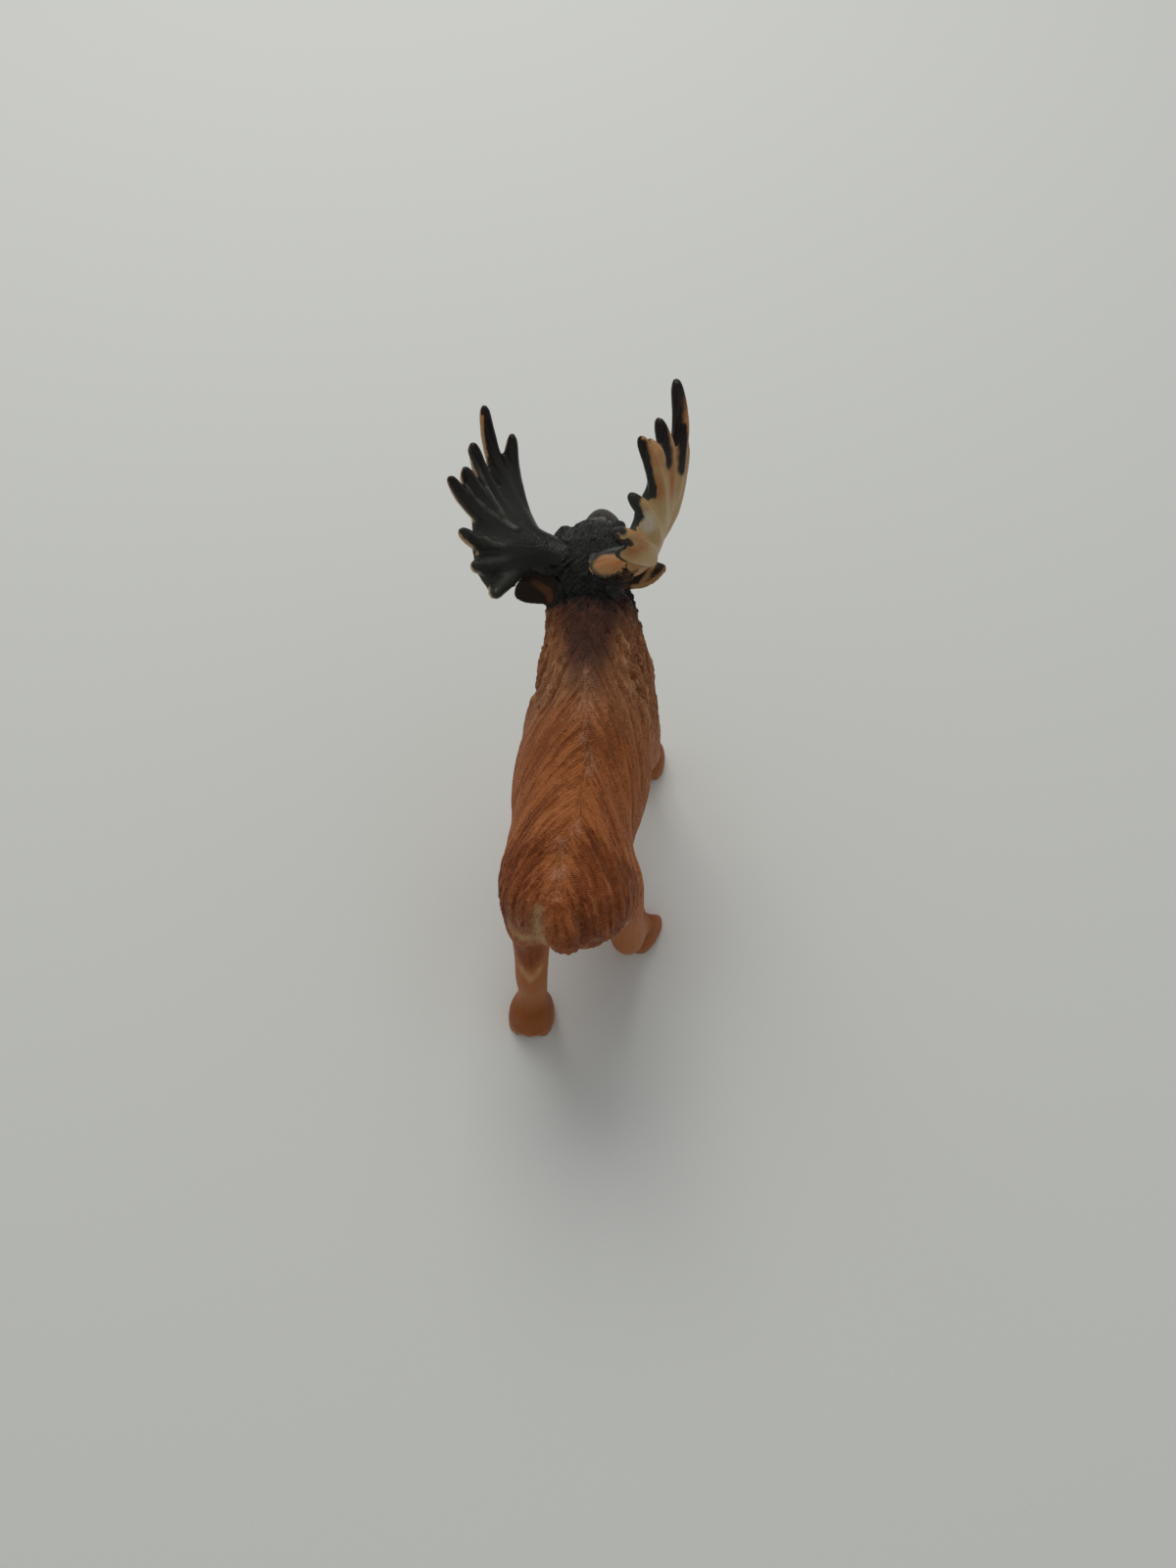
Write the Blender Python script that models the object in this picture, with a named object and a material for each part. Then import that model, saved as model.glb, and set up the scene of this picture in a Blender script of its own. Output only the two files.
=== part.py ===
"""A small moulded bull moose that walks with its head lowered and tilted."""
import math

import bmesh
import bpy
from mathutils import Matrix, Vector

# Driving sizes
# Every size is in millimetres and MM turns it into metres.
MM = 0.001
WITHERS_HEIGHT = 68.0
HOOF_LENGTH = 11.0
HOOF_WIDTH = 9.6
HOOF_HEIGHT = 6.5
ANTLER_REACH = 30.0
ANTLER_CUP = 3.6
TINE_WIDTH = 3.4
PALM_THICKNESS = 2.2
EAR_LENGTH = 10.0
EAR_WIDTH = 6.0
EYE_WIDTH = 2.0
LOCK_LENGTH = 7.0
LOCK_WIDTH = 2.6
LOCK_RELIEF = 0.8

# The pose is written in shares of the height at the withers: UNIT is one sixty-eighth
# of it, so that a place reads as millimetres at the figure's own size.
UNIT = WITHERS_HEIGHT / 68.0 * MM

# Fineness of the form
FLESH_VOXEL = 0.7 * UNIT
DETAIL_VOXEL = 0.48 * UNIT
RING_SIDE_COUNT = 28
FLESH_SMOOTHING_COUNT = 12
DETAIL_SMOOTHING_COUNT = 2
CROWN_HEIGHT = 77.0
TRIANGLE_COUNT = 9400

LEFT = Vector((1.0, 0.0, 0.0))
AHEAD = Vector((0.0, -1.0, 0.0))
UP = Vector((0.0, 0.0, 1.0))


def direction(left, ahead, up):
    """A way to point, from shares beside, ahead and above"""
    return (LEFT * left + AHEAD * ahead + UP * up).normalized()


def at(left, ahead, up):
    """A place beside, ahead and above, in units of the pose"""
    return (LEFT * left + AHEAD * ahead + UP * up) * UNIT


# Body: left, ahead, up, half width and half height at each station, of the barrel from rump to
# chest, then of the neck from the shoulders to the poll
BARREL = (
    (1.2, -23.8, 52.7, 2.0, 2.6),
    (1.2, -22.6, 52.4, 5.8, 5.2),
    (0.8, -19.6, 50.9, 10.4, 8.2),
    (0.2, -14.6, 47.8, 13.1, 12.2),
    (0.4, -8.0, 46.3, 13.0, 13.9),
    (0.7, 0.0, 45.6, 12.2, 14.8),
    (0.7, 8.0, 45.2, 13.7, 16.2),
    (0.3, 16.0, 46.0, 14.0, 18.4),
    (-0.2, 23.0, 47.5, 12.8, 18.6),
    (-0.2, 29.0, 47.6, 11.2, 15.0),
    (-0.2, 33.0, 48.2, 7.6, 9.6),
    (-0.2, 34.8, 48.6, 3.0, 4.0),
)
NECK = (
    (-0.3, 14.0, 46.0, 10.0, 15.0),
    (-0.8, 20.0, 49.5, 11.6, 16.6),
    (-0.8, 26.0, 53.5, 11.6, 15.8),
    (0.2, 31.0, 58.5, 10.6, 13.8),
    (1.2, 35.5, 64.0, 8.9, 11.5),
    (2.2, 39.0, 69.5, 7.9, 9.4),
    (2.8, 41.5, 73.0, 6.6, 7.4),
)
BODY_TAPER = 0.1
NECK_LENGTH = 39.0 * UNIT

# Head: its frame starts inside the skull and looks along the muzzle
HEAD_PLACE = (3.0, 41.6, 74.0)
HEAD_NOD = 25.5
HEAD_TURN = 0.0
HEAD_TILT = 12.0
HEAD = (
    (0.0, -6.5, -1.0, 3.0, 3.5),
    (0.0, -4.0, 0.0, 6.0, 6.4),
    (0.0, 1.0, 0.3, 7.0, 7.6),
    (0.0, 7.0, 0.4, 7.0, 7.9),
    (0.0, 12.0, -0.5, 5.8, 7.0),
    (0.0, 17.0, -1.2, 4.2, 5.9),
    (0.0, 22.0, -1.6, 4.5, 6.1),
    (0.0, 26.0, -2.5, 4.7, 6.0),
    (0.0, 28.8, -3.6, 3.8, 4.6),
    (0.0, 30.2, -4.2, 1.6, 2.2),
)
JAW = (
    (0.0, 2.0, -4.5, 4.0, 3.5),
    (0.0, 8.0, -6.2, 3.6, 2.8),
    (0.0, 15.0, -6.6, 2.7, 2.0),
    (0.0, 21.0, -7.4, 2.7, 2.0),
    (0.0, 25.0, -8.2, 2.2, 1.6),
    (0.0, 26.4, -8.3, 0.8, 0.7),
)
EYE_PLACE = (6.3, 9.2, 1.7)
BROW_PLACE = (5.6, 8.8, 4.2)
BROW_WIDTH = 5.2

# Throat hair and tail
DEWLAP = (
    (3.0, 46.5, 68.0, 3.4, 5.6),
    (3.0, 47.5, 63.5, 3.0, 5.0),
    (3.1, 48.0, 58.5, 2.5, 3.7),
    (3.2, 48.0, 53.5, 1.9, 2.5),
    (3.2, 47.6, 49.5, 1.2, 1.5),
    (3.2, 47.3, 47.5, 0.4, 0.5),
)
TAIL = (
    (0.2, -20.8, 57.4, 1.6, 1.0),
    (-0.5, -23.6, 55.6, 2.9, 1.6),
    (-1.1, -25.6, 52.2, 3.3, 1.8),
    (-1.6, -25.6, 48.4, 2.6, 1.6),
    (-1.8, -25.0, 45.6, 0.8, 0.6),
)

# Legs: from inside the body down to the fetlock, then where the hoof stands
LEFT_HIND = (
    (7.0, -13.0, 50.0, 5.0, 7.0),
    (7.2, -14.0, 42.0, 5.2, 9.4),
    (7.0, -15.0, 34.5, 4.3, 8.0),
    (6.7, -18.5, 27.0, 3.7, 5.2),
    (6.5, -21.8, 21.0, 3.5, 4.4),
    (6.5, -21.8, 14.0, 3.3, 3.3),
    (6.8, -23.2, 8.0, 3.6, 3.6),
    (7.0, -23.6, 4.0, 3.9, 4.2),
)
RIGHT_HIND = (
    (-7.2, -12.0, 50.0, 5.0, 7.0),
    (-8.8, -9.4, 42.0, 5.6, 8.4),
    (-10.4, -8.0, 34.5, 4.7, 7.2),
    (-11.4, -9.4, 26.5, 4.0, 5.0),
    (-12.4, -10.4, 20.5, 3.6, 4.3),
    (-13.2, -5.6, 13.0, 3.2, 3.2),
    (-13.8, -1.6, 7.0, 3.5, 3.5),
    (-14.0, -0.4, 4.0, 3.7, 4.0),
)
LEFT_FORE = (
    (8.0, 26.0, 52.0, 4.6, 7.4),
    (9.6, 24.4, 43.0, 5.0, 8.0),
    (10.2, 22.2, 34.0, 4.5, 6.0),
    (10.0, 22.6, 25.0, 3.7, 4.0),
    (9.8, 23.2, 19.0, 3.9, 4.2),
    (9.6, 21.6, 13.0, 3.0, 3.0),
    (9.4, 20.0, 7.0, 3.5, 3.5),
    (9.3, 20.0, 4.0, 3.7, 4.0),
)
RIGHT_FORE = (
    (-8.0, 27.0, 52.0, 4.6, 7.4),
    (-9.4, 26.2, 43.0, 5.0, 8.0),
    (-10.2, 27.6, 34.0, 4.5, 6.0),
    (-10.8, 32.0, 25.5, 3.7, 4.0),
    (-11.0, 35.8, 20.0, 3.9, 4.2),
    (-10.9, 39.6, 13.0, 3.0, 3.0),
    (-10.8, 43.4, 7.0, 3.5, 3.5),
    (-10.8, 45.0, 4.0, 3.7, 4.0),
)
# Each leg with the way its hoof points outward from straight ahead, in degrees
LEGS = (
    (LEFT_HIND, 2.0),
    (RIGHT_HIND, -28.0),
    (LEFT_FORE, 4.0),
    (RIGHT_FORE, -6.0),
)

# Tines of each antler: angle from the palm's upright toward its front, share of the reach,
# and the share of its own length at which the tine leaves the palm
LEFT_TINES = (
    (48.0, 0.78, 0.72),
    (38.0, 0.98, 0.68),
    (23.0, 0.81, 0.72),
    (10.0, 0.74, 0.86),
    (0.0, 0.79, 0.60),
    (-24.0, 0.64, 0.68),
    (-44.0, 0.58, 0.80),
    (-66.0, 0.53, 0.80),
)
RIGHT_TINES = (
    (41.0, 0.88, 0.72),
    (31.0, 1.08, 0.68),
    (19.0, 0.84, 0.74),
    (10.0, 0.74, 0.84),
    (0.0, 0.80, 0.64),
    (-18.0, 0.54, 0.78),
    (-45.0, 0.56, 0.76),
    (-58.0, 0.45, 0.80),
)
# Each antler: where it leaves the skull, its hub, the palm's upright and front, the sign that
# turns its hollow side in, and its tines
ANTLERS = (
    ((6.4, 41.0, 78.6), (11.4, 41.5, 79.7), (0.72, 0.06, 0.69), (-0.16, 0.98, 0.08), 1, LEFT_TINES),
    ((-0.8, 39.6, 79.6), (-7.2, 40.3, 82.8), (0.08, 0.31, 0.95), (-0.31, 0.91, -0.28), -1, RIGHT_TINES),
)
# Share of a tine's width at the palm's hub, half way out in the palm, at the palm's edge, half way
# along the free tine, near its end and at its tip, and how thick it is against its width
TINE_WIDTHS = (1.1, 1.15, 1.05, 0.95, 0.7, 0.25)
TINE_FLATNESS = 0.85
# The beam from inside the skull to the middle of the palm: half width and half thickness
BEAM_WIDTHS = (2.4, 3.7, 4.2, 4.4, 2.0)
BEAM_THICKNESSES = (2.4, 3.1, 2.7, 1.9, 0.9)
# Each ear: root, tip, and the way its hollow faces
EARS = (
    ((7.5, 38.7, 73.5), (16.5, 36.5, 72.3), (0.1, 0.7, -0.6)),
    ((-3.2, 39.0, 76.2), (-13.2, 43.4, 77.6), (-0.5, -0.05, 0.8)),
)
# Share of an ear's length against share of its width, and how deep its hollow is
EAR_PROFILE = ((-0.25, 0.5), (0.1, 0.7), (0.4, 1.0), (0.7, 0.85), (0.92, 0.45), (1.0, 0.12))
EAR_FLATNESS = 0.42
EAR_HOLLOW = 0.8

# One toe of a hoof, from the fetlock to below the ground: place beside its middle as a share of a
# toe's half width, place ahead, share of the hoof's height, and shares of half width and length
TOE_PROFILE = (
    (0.75, -0.4, 1.23, 0.7, 0.45),
    (0.9, -0.2, 1.0, 0.95, 0.62),
    (0.96, 0.2, 0.6, 1.08, 0.8),
    (1.0, 0.6, 0.25, 1.12, 0.94),
    (1.0, 0.7, -0.18, 1.15, 1.0),
)
TOE_TAPER = 0.18
# The heel that closes the cleft behind: the same, for the hoof's whole half width and half length
HEEL_PROFILE = (
    (0.0, -0.18, 1.35, 0.72, 0.5),
    (0.0, -0.24, 1.0, 0.84, 0.58),
    (0.0, -0.3, 0.5, 0.98, 0.62),
    (0.0, -0.3, -0.18, 1.06, 0.68),
)

# Locks: rows from the shoulders to the poll, how many stand in the lowest row, the shares of the
# neck where the rows start and end, and how far a lock turns down round the neck as it falls
LOCK_ROW_COUNT = 9
LOCKS_PER_ROW_COUNT = 22
LOCKS_FROM = 0.26
LOCKS_TO = 0.92
LOCK_SWING = 0.22
# Share of a lock's length against shares of its width and of its relief
LOCK_PROFILE = ((0.0, 0.5, -0.6), (0.3, 1.0, 0.2), (0.65, 0.85, 0.7), (1.0, 0.2, 0.9))
LOCK_BED = 0.5
LOCK_FLATNESS = 0.7


def spline(stations, share):
    """The smooth row of values at a share of the way along the stations"""
    span = share * (len(stations) - 1)
    first = min(int(span), len(stations) - 2)
    step = span - first
    rows = [stations[min(max(first + k, 0), len(stations) - 1)] for k in (-1, 0, 1, 2)]
    values = []
    for before, start, end, after in zip(*rows):
        bend = 2 * before - 5 * start + 4 * end - after
        twist = 3 * (start - end) + after - before
        values.append(start + 0.5 * step * (end - before + step * (bend + step * twist)))
    return values


def frame_at(stations, share, side, place):
    """Centre, sideways and upward directions, and half sizes of the ring at a share"""
    small = 0.01
    left, ahead, up, half_width, half_height = spline(stations, share)
    centre = place(left, ahead, up)
    behind = place(*spline(stations, max(share - small, 0.0))[:3])
    beyond = place(*spline(stations, min(share + small, 1.0))[:3])
    heading = (beyond - behind).normalized()
    upward = side.cross(heading).normalized() * -1.0
    sideways = heading.cross(upward)
    return centre, sideways, upward, half_width * UNIT, half_height * UNIT


def ring_points(frame, sides, taper, dent):
    """An oval ring, narrower above by the taper and hollowed above by the dent"""
    centre, sideways, upward, half_width, half_height = frame
    points = []
    for index in range(sides):
        angle = math.tau * index / sides
        across, above = math.cos(angle), math.sin(angle)
        height = half_height * (above - dent * max(above, 0.0))
        width = half_width * across * (1 - taper * above)
        points.append(centre + sideways * width + upward * height)
    return points


def tube(bm, stations, rings=12, side=LEFT, sides=RING_SIDE_COUNT, taper=0.0, dent=0.0, place=at):
    """A closed shell through oval rings along the stations"""
    loops = []
    for index in range(rings):
        frame = frame_at(stations, index / (rings - 1), side, place)
        loops.append([bm.verts.new(point) for point in ring_points(frame, sides, taper, dent)])
    for before, after in zip(loops, loops[1:]):
        for index in range(sides):
            beside = (index + 1) % sides
            bm.faces.new((before[index], before[beside], after[beside], after[index]))
    bm.faces.new(loops[0])
    bm.faces.new(loops[-1])


def ball(bm, centre, radius, stretch=(1.0, 1.0, 1.0)):
    """A rounded lump, stretched sideways, lengthwise and upward"""
    matrix = Matrix.Translation(centre) @ Matrix.Diagonal((*stretch, 1.0))
    bmesh.ops.create_icosphere(bm, subdivisions=3, radius=radius, matrix=matrix)


def head_matrix():
    """The head's frame, nodded down, turned to the left and tilted right side up"""
    nod = Matrix.Rotation(math.radians(HEAD_NOD), 4, "X")
    turn = Matrix.Rotation(math.radians(HEAD_TURN), 4, "Z")
    tilt = Matrix.Rotation(math.radians(HEAD_TILT), 4, "Y")
    return Matrix.Translation(at(*HEAD_PLACE)) @ turn @ nod @ tilt


def in_head(left, ahead, up):
    """A place in the head's own frame"""
    return head_matrix() @ at(left, ahead, up)


def add_head(bm):
    """Skull, muzzle, brows and eyes"""
    across = head_matrix().to_3x3() @ LEFT
    tube(bm, HEAD, rings=30, side=across, taper=0.12, place=in_head)
    tube(bm, JAW, rings=18, side=across, sides=20, place=in_head)
    for side in (1, -1):
        left, ahead, up = EYE_PLACE
        ball(bm, in_head(side * left, ahead, up), EYE_WIDTH / 2 * MM)
        left, ahead, up = BROW_PLACE
        ball(bm, in_head(side * left, ahead, up), BROW_WIDTH / 2 * UNIT, (0.8, 1.5, 0.8))


def add_ear(bm, root, tip, facing):
    """A leaf-shaped ear, hollowed on its front"""
    start = at(*root)
    way = (at(*tip) - start).normalized()
    length = EAR_LENGTH * MM / UNIT
    width = EAR_WIDTH / 2 * MM / UNIT
    stations = []
    for share, wide in EAR_PROFILE:
        thick = EAR_FLATNESS * width * (1 + wide) / 2
        stations.append((0.0, share * length, 0.0, wide * width, thick))
    across = way.cross(direction(*facing)).normalized()
    face = across.cross(way)

    def place(left, ahead, up):
        return start + (across * left + way * ahead + face * up) * UNIT

    tube(bm, stations, rings=14, side=across, sides=20, dent=EAR_HOLLOW, place=place)


def add_antler(bm, root, hub, upright, front, side, tines):
    """A beam from the skull, a cupped palm and its tines"""
    centre = at(*hub)
    rise = direction(*upright)
    forth = direction(*front)
    forth = (forth - rise * forth.dot(rise)).normalized()
    outer = rise.cross(forth) * side
    reach = ANTLER_REACH * MM

    def on_palm(angle, share, length):
        turn = math.radians(angle)
        way = rise * math.cos(turn) + forth * math.sin(turn)
        cup = ANTLER_CUP * MM * 4 * share * (1 - share)
        return centre + way * (share * length * reach) + outer * cup

    shares = (0.0, 0.25, 0.5, 0.75, 1.0)
    columns = []
    for angle, length, leaves in tines:
        columns.append([bm.verts.new(on_palm(angle, share * leaves, length)) for share in shares[1:]])
    middle = bm.verts.new(centre)
    faces = []
    for before, after in zip(columns, columns[1:]):
        faces.append(bm.faces.new((middle, before[0], after[0])))
        for low, high in zip(range(len(before)), range(1, len(before))):
            faces.append(bm.faces.new((before[low], before[high], after[high], after[low])))
    bmesh.ops.recalc_face_normals(bm, faces=faces)
    bmesh.ops.solidify(bm, geom=faces, thickness=PALM_THICKNESS * MM)

    half = TINE_WIDTH / 2 * MM / UNIT
    for angle, length, leaves in tines:
        stations = []
        for share, wide in zip((0.05, 0.35, leaves, (1 + leaves) / 2, 0.96, 1.0), TINE_WIDTHS):
            spot = on_palm(angle, share, length) / UNIT
            stations.append((spot.x, -spot.y, spot.z, wide * half, wide * half * TINE_FLATNESS))
        tube(bm, stations, rings=16, side=outer, sides=12)
    start = at(*root)
    route = (start * 2 - centre, start, centre, on_palm(0.0, 0.3, 0.8), on_palm(0.0, 0.55, 0.8))
    beam = []
    for spot, wide, thick in zip(route, BEAM_WIDTHS, BEAM_THICKNESSES):
        spot = spot / UNIT
        beam.append((spot.x, -spot.y, spot.z, wide, thick))
    tube(bm, beam, rings=16, side=forth, sides=20)


def add_hoof(bm, leg, heading):
    """Two toes side by side under the fetlock, closed behind by one smooth heel"""
    left, ahead, up = leg[-1][:3]
    turn = Matrix.Rotation(math.radians(heading), 3, "Z")
    centre = at(left, ahead, 0.0)

    def place(beside, forth, above):
        return centre + turn @ at(beside, forth, above)

    length = HOOF_LENGTH / 2 * MM / UNIT
    width = HOOF_WIDTH / 4 * MM / UNIT
    height = HOOF_HEIGHT * MM / UNIT
    across = turn @ LEFT
    for side in (1, -1):
        toe = []
        for beside, forth, above, wide, long in TOE_PROFILE:
            toe.append((side * width * beside, forth, height * above, width * wide, length * long))
        tube(bm, toe, rings=10, side=across, sides=20, taper=TOE_TAPER, place=place)
    heel = []
    for beside, forth, above, wide, long in HEEL_PROFILE:
        heel.append((beside, length * forth, height * above, width * 2 * wide, length * long))
    tube(bm, heel, rings=10, side=across, sides=24, place=place)


def add_locks(bm):
    """Rows of overlapping locks on the neck, lower and fewer along the crest of the shoulders"""
    for row in range(LOCK_ROW_COUNT):
        share = LOCKS_FROM + (LOCKS_TO - LOCKS_FROM) * row / (LOCK_ROW_COUNT - 1)
        count = LOCKS_PER_ROW_COUNT - row
        for index in range(count):
            angle = math.tau * (index + 0.5 * (row % 2)) / count
            crest = max(math.sin(angle), 0.0)
            relief = LOCK_RELIEF * (1.0 - 0.6 * crest) * min(1.0, 0.4 + 0.2 * row)
            if crest < 0.45 + 0.08 * row:
                add_lock(bm, share, angle, relief)


def add_lock(bm, share, angle, relief):
    """One pointed lock that leaves the skin as it runs back and down"""
    fall = LOCK_LENGTH * MM / NECK_LENGTH
    swing = math.copysign(LOCK_SWING, math.cos(angle))
    half = LOCK_WIDTH / 2 * MM / UNIT
    stations = []
    for along, wide, lift in LOCK_PROFILE:
        frame = frame_at(NECK, max(share - fall * along, 0.02), LEFT, at)
        centre, sideways, upward, half_width, half_height = frame
        turned = angle - swing * along
        rise = (lift * relief - LOCK_BED) * MM
        beside = (half_width + rise) * math.cos(turned)
        above = (half_height + rise) * math.sin(turned)
        spot = (centre + sideways * beside + upward * above) / UNIT
        stations.append((spot.x, -spot.y, spot.z, wide * half, wide * half * LOCK_FLATNESS))
    tube(bm, stations, rings=7, side=UP.cross(AHEAD), sides=10)


def as_mesh(bm, name):
    """Hand the shells over as a mesh with their faces pointing out"""
    bmesh.ops.recalc_face_normals(bm, faces=bm.faces[:])
    mesh = bpy.data.meshes.new(name)
    bm.to_mesh(mesh)
    bm.free()
    return mesh


def add_flesh(bm):
    """Barrel, neck and legs"""
    tube(bm, BARREL, rings=44, taper=BODY_TAPER)
    tube(bm, NECK, rings=26, taper=BODY_TAPER)
    for leg, _ in LEGS:
        tube(bm, leg, rings=30)


def add_details(bm):
    """All that stands out from the flesh"""
    add_head(bm)
    tube(bm, DEWLAP, rings=14)
    tube(bm, TAIL, rings=14, sides=16)
    for leg, heading in LEGS:
        add_hoof(bm, leg, heading)
    for ear in EARS:
        add_ear(bm, *ear)
    for antler in ANTLERS:
        add_antler(bm, *antler)
    add_locks(bm)


def evaluated(body):
    """The object's mesh with its modifiers applied"""
    graph = bpy.context.evaluated_depsgraph_get()
    graph.update()
    return bpy.data.meshes.new_from_object(body.evaluated_get(graph))


def fuse(body, voxel):
    """Melt the shells into one skin"""
    remesh = body.modifiers.new("melt", "REMESH")
    remesh.mode = "VOXEL"
    remesh.voxel_size = voxel
    fused = evaluated(body)
    body.modifiers.clear()
    body.data = fused


def soften(bm, rounds, crown=math.inf):
    """Smooth the skin below the crown"""
    soft = [vert for vert in bm.verts if vert.co.z < crown]
    for _ in range(rounds):
        bmesh.ops.smooth_vert(bm, verts=soft, factor=0.5, use_axis_x=True, use_axis_y=True, use_axis_z=True)


def thin_out(body):
    """Fewer triangles where the skin is calm"""
    body.data.calc_loop_triangles()
    decimate = body.modifiers.new("thin", "DECIMATE")
    decimate.ratio = TRIANGLE_COUNT / len(body.data.loop_triangles)
    thinned = evaluated(body)
    body.modifiers.clear()
    body.data = thinned


def flatten_soles(body):
    """Cut the hooves off level at the ground and close them"""
    bm = bmesh.new()
    bm.from_mesh(body.data)
    everything = bm.verts[:] + bm.edges[:] + bm.faces[:]
    cut = bmesh.ops.bisect_plane(bm, geom=everything, plane_co=(0, 0, 0), plane_no=(0, 0, 1), clear_inner=True)
    rim = [item for item in cut["geom_cut"] if isinstance(item, bmesh.types.BMEdge)]
    bmesh.ops.holes_fill(bm, edges=rim, sides=0)
    bmesh.ops.triangulate(bm, faces=bm.faces[:])
    bmesh.ops.recalc_face_normals(bm, faces=bm.faces[:])
    low = Vector([min(vert.co[axis] for vert in bm.verts) for axis in range(3)])
    high = Vector([max(vert.co[axis] for vert in bm.verts) for axis in range(3)])
    middle = Vector(((low.x + high.x) / 2, (low.y + high.y) / 2, 0.0))
    bmesh.ops.translate(bm, vec=-middle, verts=bm.verts[:])
    bm.to_mesh(body.data)
    bm.free()
    print("origin moved by", [round(value / MM, 3) for value in middle])
    print("size in mm", [round((high - low)[axis] / MM, 2) for axis in range(3)])


def plastic():
    """Orange brown vinyl with a soft sheen"""
    material = bpy.data.materials.new("brown_vinyl")
    material.use_nodes = True
    shader = material.node_tree.nodes["Principled BSDF"]
    shader.inputs["Base Color"].default_value = (0.2, 0.065, 0.023, 1.0)
    shader.inputs["Roughness"].default_value = 0.5
    shader.inputs["Metallic"].default_value = 0.0
    return material


def main():
    for thing in list(bpy.data.objects):
        bpy.data.objects.remove(thing, do_unlink=True)
    bm = bmesh.new()
    add_flesh(bm)
    moose = bpy.data.objects.new("moose", as_mesh(bm, "flesh"))
    bpy.context.scene.collection.objects.link(moose)
    fuse(moose, FLESH_VOXEL)
    bm = bmesh.new()
    bm.from_mesh(moose.data)
    soften(bm, FLESH_SMOOTHING_COUNT)
    add_details(bm)
    moose.data = as_mesh(bm, "moose")
    fuse(moose, DETAIL_VOXEL)
    bm = bmesh.new()
    bm.from_mesh(moose.data)
    soften(bm, DETAIL_SMOOTHING_COUNT, crown=CROWN_HEIGHT * UNIT)
    moose.data = as_mesh(bm, "moose")
    thin_out(moose)
    flatten_soles(moose)
    moose.data.materials.clear()
    moose.data.materials.append(plastic())


main()
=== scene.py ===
# %% [markdown]
# # A small moulded bull moose
# The real object is a palm-sized plastic figure. It is moulded in one piece, its coat is cut into
# the mould as fine hair lines, and paint is sprayed and brushed over brown plastic. The imported CAD
# model holds its whole form in under ten thousand triangles. This lesson turns that form into one
# fine skin, carves the hair, the face and the antlers' ribs into it, and then paints it.
#
# ## The frame
# The imported model is loaded first. It is the fixed frame that everything else is set against.

import itertools
import math

import bmesh
import bpy
import numpy as np
from mathutils import Matrix, Vector


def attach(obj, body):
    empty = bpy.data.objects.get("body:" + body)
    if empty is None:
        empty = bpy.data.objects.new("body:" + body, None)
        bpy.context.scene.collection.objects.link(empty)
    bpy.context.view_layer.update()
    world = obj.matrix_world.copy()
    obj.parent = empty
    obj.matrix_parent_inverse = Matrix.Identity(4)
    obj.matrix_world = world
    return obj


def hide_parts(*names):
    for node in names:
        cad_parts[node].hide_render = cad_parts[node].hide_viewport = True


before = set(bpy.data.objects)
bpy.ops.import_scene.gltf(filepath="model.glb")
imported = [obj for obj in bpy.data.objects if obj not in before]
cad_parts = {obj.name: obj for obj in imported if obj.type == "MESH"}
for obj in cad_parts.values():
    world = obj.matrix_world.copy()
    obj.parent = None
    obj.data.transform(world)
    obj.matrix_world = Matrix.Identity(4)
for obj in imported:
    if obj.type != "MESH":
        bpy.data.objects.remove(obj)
scene = bpy.context.scene
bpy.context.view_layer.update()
print("nodes:", sorted(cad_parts))

# %% [markdown]
# ## Places on the animal
# The pose is easiest to write as an anatomist would: so far to the animal's left, so far ahead, so
# far up, in millimetres. The model's own origin is the middle of its box, so two numbers shift one
# into the other. Everything below is written in these places, and turned into metres only once.

# %% Places and directions
MM = 0.001
MIDDLE_LEFT = 4.788
MIDDLE_AHEAD = 20.262


def spot(left, ahead, up):
    """A place on the animal, in metres"""
    return np.array([left - MIDDLE_LEFT, MIDDLE_AHEAD - ahead, up]) * MM


def way(left, ahead, up):
    """A direction on the animal, one long"""
    arrow = np.array([left, -ahead, up], float)
    return arrow / np.linalg.norm(arrow)


def animal_places(points):
    """Left, ahead and up of every point, in millimetres"""
    left = points[:, 0] / MM + MIDDLE_LEFT
    ahead = MIDDLE_AHEAD - points[:, 1] / MM
    return left, ahead, points[:, 2] / MM


print("the left hind hoof stands at", np.round(spot(6.7, -23.6, 0.0) / MM, 1))

# %% [markdown]
# ## The camera
# The photograph looks down on the animal's back at about sixty degrees, from only 25 cm away, so
# nearby parts look larger: the antlers spread and the hind legs shrink.

# %% Set the camera where the photograph was taken
CAMERA_PLACE = Vector((-21.458, 127.932, 253.4)) * MM
CAMERA_FORWARD = Vector((0.0653, -0.4957, -0.8660))
CAMERA_RIGHT = Vector((-0.9914, -0.1305, 0.0))
PHOTO_LONG_SIDE = 1600.0
FOCAL_IN_PIXELS = 1202.0
SENSOR_SIDE = 36.0

camera_data = bpy.data.cameras.new("photo_camera")
camera = bpy.data.objects.new("photo_camera", camera_data)
scene.collection.objects.link(camera)
camera_up = CAMERA_RIGHT.cross(CAMERA_FORWARD).normalized()
turn = Matrix((CAMERA_RIGHT, camera_up, -CAMERA_FORWARD)).transposed()
camera.matrix_world = Matrix.Translation(CAMERA_PLACE) @ turn.to_4x4()
camera_data.sensor_fit = "AUTO"
camera_data.sensor_width = SENSOR_SIDE
camera_data.lens = SENSOR_SIDE * FOCAL_IN_PIXELS / PHOTO_LONG_SIDE
camera_data.clip_start = 0.01
camera_data.clip_end = 10.0
scene.camera = camera
scene.view_settings.view_transform = "Standard"
print("lens in mm:", round(camera_data.lens, 2))

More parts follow.
